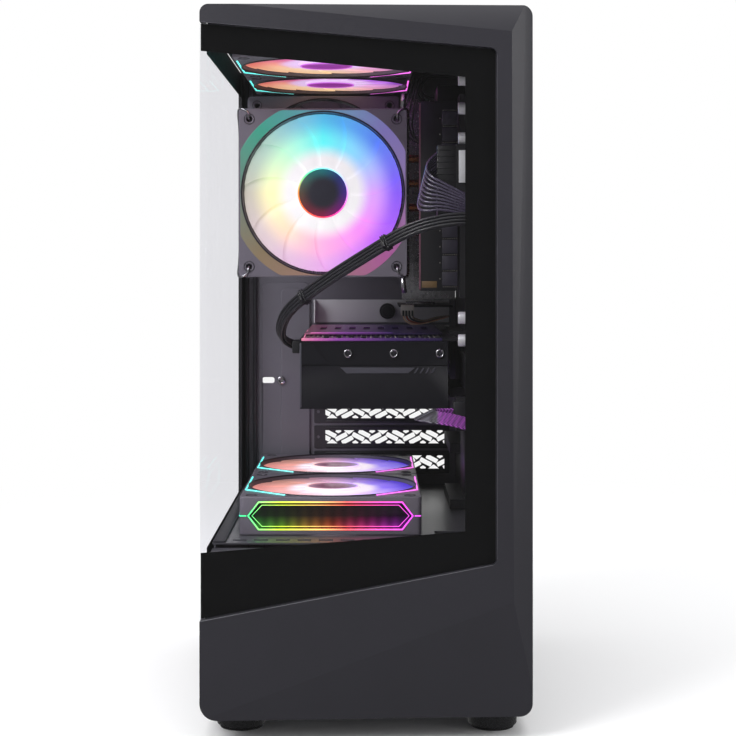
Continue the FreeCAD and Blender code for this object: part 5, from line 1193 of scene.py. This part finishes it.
# %% Graphics card shroud
card_low, card_high = box_mm("gpu_shroud")
shroud = from_node("card_shroud", "gpu_shroud", 0.0)
SEAM_HEIGHT = card_high.z - 17.2
groove_ring = [oblong(card_low.x - 2, card_low.y - 2, card_high.x + 2, card_high.y + 2),
               oblong(card_low.x + 0.5, card_low.y + 0.5, card_high.x - 0.5, card_high.y - 0.5)]
shroud = cut(shroud, sheet("seam_cutter", groove_ring, "top", SEAM_HEIGHT, 0.7))
soften(shroud, 0.5, 2, 40)
shroud_abs = grained("matt black shroud ABS", ("0e0d16", "0b0a12"), (0.55, 0.65), 0.8, 0.004,
                     **{"Specular IOR Level": 0.25})
place(shroud, shroud_abs, "case", "black_plastic", ["gpu_shroud"])
strip_low = SEAM_HEIGHT - 4.8
end_face = -card_low.y
pale_abs = grained("grey painted trim", ("4a4953", "3f3e47"), (0.32, 0.44), 0.8, 0.01)
strip_top = SEAM_HEIGHT - 0.8
bar = [(-18.4, strip_top), (-14.2, strip_low), (28.6, strip_low), (33.2, strip_top)]
trim = [sheet("trim", [bar], "front", end_face, 0.35, 0.1)]
slash_top = SEAM_HEIGHT - 1.0
for step in range(4):
    x = 33.4 + 3.9 * step
    slash = [(x + 1.2, slash_top), (x - 1.2, strip_low), (x, strip_low), (x + 2.4, slash_top)]
    trim.append(sheet("slash", [slash], "front", end_face, 0.35, 0.1))
place(join("shroud_trim", trim), pale_abs, "case", "black_plastic")
facet_top = card_high.z - 1.2
facet_low = SEAM_HEIGHT + 1.4
corner = [(-45.4, facet_top), (-38.5, facet_top), (-25.5, facet_low), (-45.4, facet_low)]
facet = sheet("shroud_facet", [corner], "front", end_face, 0.5, 0.2)
place(facet, shroud_abs, "case", "black_plastic")
# A pale strip down the shroud's left corner: a painted highlight, the side glass's light on that
# edge.
corner_highlight = block("shroud_corner_highlight", (card_low.x - 0.2, card_low.y - 0.5, card_low.z + 1),
                  (card_low.x + 1.2, card_low.y + 0.6, card_high.z - 1), 0.4)
place(corner_highlight, pale_abs, "case", "black_plastic")
SCREW_PLACES = [(x, card_high.z - 8.2) for x in (-13.2, 18.6, 50.4)]
rings, sockets = [], []
for x, z in SCREW_PLACES:
    points = [(x + u, card_low.y - 0.6, z + v) for u, v in ring(0, 0, 2.4, 32)]
    rings.append(wire("ring", points, 0.7, closed=True))
    sockets.append(rod("socket", (x, card_low.y + 0.2, z), (x, card_low.y - 0.7, z), 1.9, 24, 0.2))
place(join("shroud_screw_rings", rings), nickel, "case", "bright_metal")
place(join("shroud_screw_sockets", sockets), dark_plastic_and_shadow, "case", "black_plastic")

# %% [markdown]
# ## Graphics card board
# From above the camera sees the board's back: a lacquered sheet full of solder joints, lit pink and
# violet by the card's own light strip along its front edge. That light on the backplate and lacquer
# is painted on as a glow, and so are the pink highlights along the backplate's edges.

# %% Board, strip and plug
BOARD_TOP = 250.0
CARD_GLOW = [(0.0, "d07a92"), (0.1, "b45a9c"), (0.25, "7a3c8e"), (0.6, "3a2458"), (1.0, "1c1830")]
PLATE_PAINTED_LIGHT = [(0.0, "8a5064"), (0.3, "6a3a7a"), (0.6, "2c1c48"), (1.0, "0e0c1a")]


def card_glow(name, stops, strength):
    """A glow whose colours are spread over the card's width, for the strip's own light and for
    painted light.
    """
    return glow_across(name, card_low.x, card_high.x, stops, strength)


strip = block("card_light_strip", (card_low.x + 1.0, card_low.y + 2.4, 248.4),
              (card_high.x - 4.0, card_low.y + 3.2, 250.3), 0.2)
place(strip, card_glow("card edge light", CARD_GLOW, 0.75), "case", "fan_blade")
joint = block("joint", (-42.0, -48.0, BOARD_TOP), (-40.8, -46.6, BOARD_TOP + 0.5), 0.1)
shifts = [(3.4 * step, 5.2 * line + 1.3 * (step % 3), 0.1 * (step % 4))
          for step in range(28) for line in range(9)]
place(row("card_solder_joints", joint, shifts), tin, "case", "bright_metal")
part = block("part", (-30.0, -49.8, BOARD_TOP), (-26.4, -46.0, BOARD_TOP + 1.8), 0.2)
shifts = [(8.6 * step, 3.1 * (step % 3), 0) for step in range(10)]
place(row("card_power_stages", part, shifts), nylon, "case", "black_plastic")
plate = oblong(-44.5, -26.0, 53.5, 134.0, 3.0)
vents = [oblong(-36.0 + 11.0 * step, 40.0, -31.0 + 11.0 * step, 92.0, 2.3) for step in range(8)]
back_plate = sheet("card_backplate", [plate] + vents, "top", BOARD_TOP + 1.6, 1.0, 0.25)
# The backplate's violet glow is painted light from the card's strip.
place(back_plate, card_glow("card backplate with painted violet light", PLATE_PAINTED_LIGHT, 0.26), "case", "black_plastic")
skin = block("card_board_skin", (-44.0, -49.0, BOARD_TOP - 0.05),
             (53.0, -26.4, BOARD_TOP + 0.25), 0.1)
# The lacquer's violet glow is painted light from the card's strip too.
place(skin, card_glow("card lacquer with painted violet light", PLATE_PAINTED_LIGHT, 0.36), "case", "board_black")
# Two pink lines along the backplate's front and left edges: painted highlights.
rail = [wire("rail", [(-40.0, -27.0, BOARD_TOP + 2.9), (18.0, -27.0, BOARD_TOP + 2.9)], 0.35),
        wire("rail", [(-43.8, -49.2, BOARD_TOP + 0.5), (-43.8, 20.0, BOARD_TOP + 2.8)], 0.35)]
edge_light = card_glow("painted pink card edge highlight", CARD_GLOW, 1.1)
place(join("card_edge_lines", rail), edge_light, "case", "fan_blade")

# %% [markdown]
# ## Wire bundles
# A loom is many thin wires that follow one route. The route is one smooth curve through the same
# points as the design's cable. Its own spline gives a row of places, and every wire is a copy of
# that row, moved sideways and up by its place in the bundle, so the wires stay parallel in a bend.

# %% Wires along a route
def route_points(points):
    """The places along a smooth route, read from its spline, with a direction at each."""
    drawing = bpy.data.curves.new("route", "CURVE")
    drawing.dimensions = "3D"
    drawing.resolution_u = 5
    spline = drawing.splines.new("NURBS")
    spline.points.add(len(points) - 1)
    for point, spot in zip(spline.points, points):
        point.co = (*(Vector(spot) * MM), 1.0)
    spline.order_u = 3
    spline.use_endpoint_u = True
    route = bpy.data.objects.new("route", drawing)
    scene.collection.objects.link(route)
    bpy.context.view_layer.update()
    mesh = bpy.data.meshes.new_from_object(route)
    places = [vertex.co / MM for vertex in mesh.vertices]
    bpy.data.objects.remove(route)
    bpy.data.meshes.remove(mesh)
    return places


def bundle(name, points, offsets, radius, up=(0, 0, 1)):
    """Wires that follow one route, each at its own offset across it and above it."""
    places = route_points(points)
    wires = []
    above = Vector(up)
    frames = []
    for index, spot in enumerate(places):
        ahead = (places[min(index + 1, len(places) - 1)] - places[max(index - 1, 0)]).normalized()
        above = (above - ahead * above.dot(ahead)).normalized()
        frames.append((spot, ahead.cross(above), above))
    for across, rise in offsets:
        row_points = [spot + side * across + lift * rise for spot, side, lift in frames]
        wires.append(wire("wire", row_points, radius, sides=2))
    return join(name, wires), frames


GPU_CABLE_ROUTE = [
    (58, -1, 88), (58, -25, 88), (72, -49, 94), (92, -79, 112), (97, -111, 150), (97, -125.5, 205),
    (97.5, -125.5, 268), (95, -125.5, 314), (80, -125.5, 330), (56, -125, 331.5), (28.2, -121, 325),
    (3.3, -104, 310), (-22, -86, 294.3), (-42, -74, 280.5), (-55.4, -64, 268.5), (-60, -53, 257.5),
    (-59.4, -45, 250.2), (-53.9, -39, 246), (-49.4, -36.4, 244.4),
]
FLAT_EIGHT = [(-3.3 + 2.2 * step, rise) for step in range(4) for rise in (-1.15, 1.15)]
gpu_cable, gpu_frames = bundle("card_power_wires", GPU_CABLE_ROUTE, FLAT_EIGHT, 1.05)
place(gpu_cable, jacket, "case", "cable_jacket", ["gpu_power_cable"])
plug = block("card_power_plug", (-51.8, -48.4, 239.6), (-45.6, -23.0, 248.2), 0.6)
ribs = [block("rib", (-52.1, y, 240.2), (-50.6, y + 1.0, 247.6), 0.2)
        for y in (-46.6 + 3.2 * step for step in range(7))]
place(join("card_power_plug", [plug] + ribs), nylon, "case", "cable_jacket")


def comb(name, frames, at, long=3.2):
    """A cable tie round the flat bundle, with its locking head to one side."""
    spot, side, lift = frames[at]
    ahead = side.cross(lift).normalized()
    strap = [spot + side * across + lift * rise for across, rise in
             [(x * 4.7, y * 2.6) for x, y in ((-1, -1), (1, -1), (1, 1), (-1, 1))]]
    loops = [wire("strap", [point + ahead * shift for point in strap], 0.55, closed=True)
             for shift in (-long / 2, 0.0, long / 2)]
    head = block("head", (-1.9, -1.5, -1.9), (1.9, 1.5, 1.9), 0.5)
    turn = Matrix((side, ahead, lift)).transposed().to_4x4()
    head.data.transform(Matrix.Translation((spot - lift * 3.6 + side * 2.2) * MM) @ turn)
    tail = wire("tail", [spot - lift * 3.6 + side * 2.2, spot - lift * 6.4 + side * 4.8], 0.6)
    return join(name, loops + [head, tail])


for number, share in (("one", 0.595), ("two", 0.735)):
    tie = comb("cable_comb_" + number, gpu_frames, int(share * len(gpu_frames)))
    place(tie, nylon, "case", "cable_jacket")

# %% [markdown]
# ## Board power ribbon
# The wide loom leaves its plug to the left, turns back on itself and crosses in front of the plug
# on its way behind the tray. Each wire is a little lower and tighter than the one before.

# %% Board power ribbon
LAYERS = 2
LAYER_STEP = 1.8
WIRES = 9
SPREAD = 1.38
RIBBON_WIRE = 0.86
RIBBON_ROUTE = (  # the first wire's places, and how far each next one lies from it there
    ((47.8, -97.0, 376.0), (0, 0, -1.5)), ((41.8, -101.0, 371.5), (-0.4, 0, -1.45)),
    ((38.6, -108.0, 365.0), (-0.54, 0, -2.38)), ((41.2, -114.0, 359.2), (-0.33, 0, -2.09)),
    ((49.0, -116.2, 355.2), (-0.13, 0, -1.6)), ((56.2, -116.6, 351.3), (0, 0, -1.37)),
    ((64.0, -116.8, 347.4), (0, 0, -1.18)), ((78.0, -116.6, 342.0), (0, 0, -1.0)),
    ((84.6, -113.0, 330.0), (0, 0, -1.0)), ((84.8, -112.0, 300.0), (0, 0.8, 0)),
    ((84.4, -117.0, 200.0), (0, 1.8, 0)), ((84.4, -117.0, 97.0), (0, 1.8, 0)),
)
STACKED = 9  # up to this place the second layer lies behind the first, and then beside it
ribbon = []
for layer in range(LAYERS):
    for number in range(WIRES):
        points = []
        for index, (first, step) in enumerate(RIBBON_ROUTE):
            back = LAYER_STEP * layer if index < STACKED else 0.0
            points.append(Vector(first) + Vector(step) * number * SPREAD + Vector((0, back, 0)))
        ribbon.append(wire("wire", points, RIBBON_WIRE, smooth=True, sides=2))
# The wires are black. Their violet-grey colour is painted light, the violet glow and sheen on them.
sheen_jacket = grained("violet-lit black wire sleeve", ("4a4358", "3a3446"), (0.2, 0.3), 1.0,
                       0.002, coat=0.7)
place(join("board_power_ribbon", ribbon), sheen_jacket, "case", "cable_jacket", ["atx_cable"])
socket_body = block("board_power_plug", (46.4, -102.4, 331.0), (59.2, -93.6, 380.2), 0.6)
ribs = [block("rib", (45.9, -102.7, z), (58.0, -102.2, z + 1.0), 0.2)
        for z in (333.0 + 3.95 * step for step in range(12))]
place(join("board_power_plug", [socket_body] + ribs), nylon, "case", "cable_jacket")
label = block("board_label", (60.6, -104.4, 355.4), (65.2, -103.9, 376.8), 0.1)
place(label, white_label, "case")

# %% [markdown]
# ## Small leads
# The front panel's lead runs out of the shroud to the board, and the processor's lead over the top
# edge. Both keep the design's points.

# %% Small leads
USB_ROUTE = [(86, -124, 166), (84.5, -124, 183), (73, -124, 195), (57.5, -124, 200.5),
             (42.5, -124, 202.5), (35, -111, 203), (42.5, -98, 202.5), (59, -98, 202.5)]
PROCESSOR_ROUTE = [(88, 88, 410), (88, 88, 430), (79, 88, 445.5), (62, 88, 449.5), (44.2, 88, 448),
                   (38.5, 88, 437.7), (44.2, 88, 427.5), (59, 88, 427.5)]
usb_offsets = [(0.0, -6.0 + 1.5 * step) for step in range(9)]
usb_lead = bundle("front_panel_lead", USB_ROUTE, usb_offsets, 0.75, (0, 0.2, 1))[0]
pairs = [(-1.9 + 3.8 * (step % 2), -1.9 + 1.9 * (step // 2)) for step in range(6)]
processor_lead = bundle("processor_power_lead", PROCESSOR_ROUTE, pairs, 1.0, (0, 1, 0))[0]
violet_sleeve, tree = new_material("braided violet-black sleeve")
spot = object_place(tree)
wave = add(tree, "TexWave", {"Vector": spot, "Scale": 260.0, "Distortion": 0.6},
           bands_direction="DIAGONAL")
braid = wave.outputs["Fac"]
violet = by_share(tree, braid, [(0.3, linear("4a1f5c")), (0.6, linear("8a3a9c")),
                                (0.9, linear("b85ac8"))])
grey = by_share(tree, braid, [(0.3, linear("141318")), (0.6, linear("3a3942")),
                              (0.9, linear("77767f"))])
where = add(tree, "SeparateXYZ", {0: spot})
GREY_TO_VIOLET = (45.0, 47.0)  # the sleeve turns from grey to violet between these places
violet_share = share_of(tree, where.outputs["X"], *GREY_TO_VIOLET)
shade = add(tree, "MixRGB", {0: violet_share, 1: grey, 2: violet}).outputs[0]
lift = add(tree, "Bump", {"Height": braid, "Distance": 0.0004})
# The braid's colours also glow weakly: painted light.
shader = add(tree, "BsdfPrincipled", {"Base Color": shade, "Roughness": 0.4,
                                      "Normal": lift.outputs[0], "Emission Color": shade,
                                      "Emission Strength": 0.12})
add(tree, "OutputMaterial", {"Surface": shader.outputs[0]})
place(usb_lead, violet_sleeve, "case", "cable_jacket", ["board_cables"])
place(processor_lead, jacket, "case", "cable_jacket")
plug_one = block("usb_plug", (57.0, -104.4, 194.4), (65.5, -92.0, 210.8), 0.6)
plug_two = block("processor_plug", (57.5, 79.0, 422.6), (66.0, 97.4, 432.4), 0.6)
place(join("lead_plugs", [plug_one, plug_two]), nylon, "case", "cable_jacket")

# %% [markdown]
# ## Card in the first slot
# The small card's bracket is the brightest sheet inside: zinc plate, lit from the window. A round
# knob of a connector sits on it, and a white four-pin plug with coloured wires stands beside.

# %% Wireless card
SLOT_ZERO = 263.5
BRACKET_HALF = 9.2
bracket_low = SLOT_ZERO - BRACKET_HALF
bracket_high = SLOT_ZERO + BRACKET_HALF
bracket = sheet("bracket", [oblong(-43.0, bracket_low, 66.0, bracket_high, 1.0)], "front",
                -138.9, 0.8, 0.2)
fold = block("bracket_fold", (-43.0, 127.0, bracket_low), (-41.8, 138.6, bracket_high), 0.3)
place(join("wireless_bracket", [bracket, fold]), zinc, "case", "bright_metal", ["wifi_card"])
card = block("wireless_board", (24.0, 61.0, 268.7), (65.0, 138.0, 270.3), 0.3)
place(card, solder_mask, "case", "board_black")
shield = block("wireless_shield", (30.0, 76.0, 270.2), (52.0, 110.0, 272.2), 0.6)
place(shield, nickel, "case", "bright_metal")
aerials = []
for x in (31.0, 9.0):
    aerials.append(rod("aerial", (x, 138.2, SLOT_ZERO), (x, 148.0, SLOT_ZERO), 3.1, 24, 0.3))
    aerials.append(rod("aerial_nut", (x, 138.9, SLOT_ZERO), (x, 141.0, SLOT_ZERO), 4.4, 6, 0.3))
place(join("aerial_sockets", aerials), gold, "case", "bright_metal")
knob = [rod("knob", (16.0, 132.0, SLOT_ZERO), (16.0, 137.8, SLOT_ZERO), 6.4, 24, 0.8)]
knob.append(rod("knob_face", (16.0, 130.6, SLOT_ZERO), (16.0, 132.6, SLOT_ZERO), 4.6, 24, 0.6))
place(join("bracket_knob", knob), nylon, "case", "black_plastic")
pin_plug = block("pin_plug", (25.4, 53.6, 262.4), (35.4, 60.8, 270.6), 0.5)
PIN_PITCH = 2.3
holes = [block("hole", (x, 53.2, 262.2), (x + 1.5, 53.8, 266.4), 0.1)
         for x in (26.4 + PIN_PITCH * step for step in range(4))]
place(join("pin_plug_slots", holes), nylon, "case")
white_nylon = grained("white moulded nylon", ("d6d2cc", "c6c0b8"), (0.4, 0.55), 0.6, 0.01)
place(pin_plug, white_nylon, "case")
PIN_COLOURS = (("c8a890", "tan"), ("8a4030", "red"), ("1e1c22", "black"), ("6a5a50", "brown"))
for step, (colour, title) in enumerate(PIN_COLOURS):
    x = 27.1 + PIN_PITCH * step
    points = [(x, 56.0, 264.0), (x + 0.3, 53.6, 261.0), (x + 2.6, 52.0, 257.6 + 0.8 * step),
              (x + 9.0, 53.0, 255.4 + 0.9 * step), (52.0, 56.0, 258.6 + 0.9 * step),
              (62.0, 60.0, 262.0)]
    lead = wire(f"pin_wire_{title}", points, 0.75, smooth=True)
    dyed_jacket = grained(f"{title} wire jacket", (colour, colour), (0.35, 0.45), 1.0, 0.01)
    place(lead, dyed_jacket, "case", "cable_jacket")

# %% [markdown]
# ## Cooler clips
# Two spring wires hold the fan on the cooler. Each is one bent rod: along the fins' edge, forward
# beside the fan, and hooked into the corner holes.

# %% Spring clips
fan_low, fan_high = box_mm("cpu_fan_frame")
middle_x = (fan_low.x + fan_high.x) / 2
middle_z = (fan_low.z + fan_high.z) / 2
clips = []
for side in (-1, 1):
    x = middle_x + side * (FAN_HALF + 1.2)
    points = []
    for end in (1, -1):
        z = middle_z + end * HOLE_OFFSET
        hook = [(middle_x + side * (HOLE_OFFSET + 0.4), fan_low.y + 1.0, z),
                (middle_x + side * (HOLE_OFFSET + 0.4), fan_low.y - 0.9, z + end * 0.6),
                (middle_x + side * (HOLE_OFFSET + 0.8), fan_low.y - 1.0, z + end * 5.4),
                (middle_x + side * (FAN_HALF - 1.0), fan_low.y + 0.4, z + end * 7.9),
                (x, fan_low.y + 6.0, z + end * 6.0), (x, fan_high.y + 3.0, z - end * 8.0)]
        points += hook if end > 0 else hook[::-1]
    clips.append(wire("clip", points, 0.8, smooth=True, sides=4))
place(join("spring_clips", clips), nickel, "case", "bright_metal", ["cpu_fan_clips"])
tabs = []
for end in (1, -1):
    z = middle_z + end * 63.5
    points = [(25.0, fan_low.y + 4.0, z - end * 4.0), (25.6, fan_low.y + 1.0, z - end * 1.0),
              (26.0, fan_low.y + 0.6, z + end * 4.0), (26.6, fan_low.y + 3.0, z + end * 7.0)]
    tabs.append(wire("tab", points, 1.9, smooth=True, sides=5))
    tabs.append(rod("tab_foot", (25.0, fan_low.y + 2.0, z - end * 9.0),
                    (25.4, fan_low.y + 1.0, z - end * 4.6), 1.2, 16, 0.4))
place(join("cooler_spring_tabs", tabs), nickel, "case", "bright_metal")
# Cans of rolled aluminium, seen side on at the window's edge.
cans_low, cans_high = box_mm("capacitors")
bright_can = grained("bright aluminium capacitor can", ("d4d3d8", "bdbcc2"), (0.3, 0.42), 1.0,
                     0.005, metallic=0.35)
CAN_RADIUS = 4.0
cans = []
y = (cans_low.y + cans_high.y) / 2
for down in (11.5, 30.5, 50.5, 169.5, 184.5):
    z = cans_high.z + 7.5 - down
    cans.append(rod("can", (60.5, y, z), (70.6, y, z), CAN_RADIUS, 32, 0.5))
    points = [(68.2, y + v, z + u) for u, v in ring(0, 0, CAN_RADIUS, 24)]
    cans.append(wire("crimp", points, 0.3, closed=True))
place(join("capacitor_cans", cans), bright_can, "case", "bright_metal", ["capacitors"])
# Thin fan leads that hang from the roof to the board.
leads = []
for step, (x, sag) in enumerate(((28.0, 4.0), (30.5, 6.0), (33.0, 3.0))):
    points = [(x + 6.0, -2.0, 436.0), (x + 1.0, -4.0, 424.0 - sag), (x - 2.0 + step, -6.0, 408.0),
              (x - 1.0, -5.0, 396.0 + sag), (x + 4.0, -2.0, 388.0), (58.0, 0.0, 384.0)]
    leads.append(wire("fan_lead", points, 0.5, smooth=True))
place(join("fan_leads", leads), jacket, "case", "cable_jacket")

# %% [markdown]
# ## Small fittings
# Feet, buttons, sockets and brackets keep the design's shape, but a real edge is never sharp: a
# moulding tool and a punch both leave a small radius, and that radius is what catches the light. So
# each one is copied, its loose triangles are merged, and its edges are bevelled at the real size.

# %% Bevelled fittings
FITTINGS = (  # node, finish, slot, edge radius in millimetres
    ("feet", foot_abs, "foot_plastic", 1.2), ("foot_pads", rubber, "rubber", 0.5),
    ("power_button", bezel_abs, "bezel_plastic", 0.6), ("psu_switch", nylon, "black_plastic", 0.5),
    ("power_inlet", nylon, "black_plastic", 0.4), ("io_strip", bezel_abs, "bezel_plastic", 0.25),
    ("gpu_bracket", zinc, "bright_metal", 0.15), ("grommets", rubber, "rubber", 0.5),
    ("drive_cage", powder_black, "black_steel", 0.2),
    ("board_heatsinks", anodised, "fin_metal", 0.4),
)
for node_name, finish, slot, edge in FITTINGS:
    fitting = from_node(node_name + "_finished", node_name, edge)
    place(fitting, finish, body_of_node[node_name], slot, [node_name])
print(len(FITTINGS), "fittings bevelled")

# %% [markdown]
# ## Thumbscrews
# The side panels are held by captive screws that fingers can turn: a knurled head, a cross recess
# and a short shank. The knurl is one outline with forty teeth, drawn once and copied.

# %% Knurled heads
SCREW_BACK = 150.0
HEAD_LENGTH = 7.9
TEETH = 40
knurl = []
for step in range(2 * TEETH):
    radius = 5.45 if step % 2 else 5.0
    angle = math.pi * step / TEETH
    knurl.append((radius * math.cos(angle), radius * math.sin(angle)))
head = sheet("knurled_head", [knurl], "front", -SCREW_BACK, HEAD_LENGTH, 0.35)
collar = rod("head_collar", (0, SCREW_BACK - 0.1, 0), (0, SCREW_BACK + 2.0, 0), 5.2, 40, 0.3)
CROSS_LONG = 2.6
CROSS_WIDE = 0.5
bars = [block("bar", (-x, 156.6, -z), (x, 159.0, z))
        for x, z in ((CROSS_LONG, CROSS_WIDE), (CROSS_WIDE, CROSS_LONG))]
head = cut(head, *bars)
shank = rod("shank", (0, 143.1, 0), (0, SCREW_BACK + 0.5, 0), 1.7, 20, 0.2)
thumbscrew = join("thumbscrew", [head, collar, shank])
for node_name, title in (("left_thumbscrews", "left"), ("right_thumbscrews", "right")):
    low, high = box_mm(node_name)
    x = (low.x + high.x) / 2
    pair = copies(thumbscrew, [(x, 0, low.z + 5.5), (x, 0, high.z - 5.5)])
    place(join(title + "_knurled_screws", pair), nickel, body_of_node[node_name], "black_steel",
          [node_name])
bpy.data.objects.remove(thumbscrew)

# %% [markdown]
# ## Bead round the window
# The bezel's opening has a thin bright arris where the moulding meets the black glass. It is a fine
# bead that follows the opening's three straight sides, painted a paler grey than the bezel: a
# painted highlight.

# %% Window bead
WINDOW_CORNERS = ((-104.5, 453.9), (82.0, 437.4), (82.0, 113.2), (-104.5, 77.4))
bead = wire("window_bead", [(x, -157.5, z) for x, z in WINDOW_CORNERS], 0.32)
# The bead's pale grey is a painted highlight on the bezel's own dark ABS.
arris_highlight = grained("ABS arris painted pale as a highlight", ("56555c", "4a4950"), (0.3, 0.4), 0.8, 0.005)
place(bead, arris_highlight, body_of_node["front_bezel"], "bezel_plastic")

# %% [markdown]
# ## The frame's own nodes
# Whatever no new piece stands for keeps its own shape and gets the finish that the real one has.
# A node that isn't listed is a moulded plastic part, so it gets the plain matt plastic.

# %% Finishes for the nodes that stay
FINISH_OF_NODE = {
    "base_tray": powder_black, "rear_panel": powder_grey, "front_frame": powder_black,
    "motherboard_tray": powder_black, "top_frame": powder_black, "psu_shroud": deck_steel,
    "left_lower_panel": powder_black, "right_panel": powder_black, "psu_case": powder_black,
    "front_glass": front_glass, "left_glass": side_glass, "top_filter": nylon_mesh,
    "psu_filter": nylon_mesh, "cpu_fin_stack": aluminium, "gpu_heatsink": aluminium,
    "cpu_heat_pipes": copper, "motherboard": solder_mask, "gpu_board": solder_mask,
    "board_sockets": nylon, "front_ports": nylon, "rear_io_ports": nickel,
}
for node_name, node in nodes.items():
    if node.hide_render:
        continue
    node.data.materials.clear()
    node.data.materials.append(FINISH_OF_NODE.get(node_name, matt_abs))
print(sum(not node.hide_render for node in nodes.values()), "nodes keep their own shape")

# %% [markdown]
# ## Finish

# %% Finish
print("pieces", len(finished))
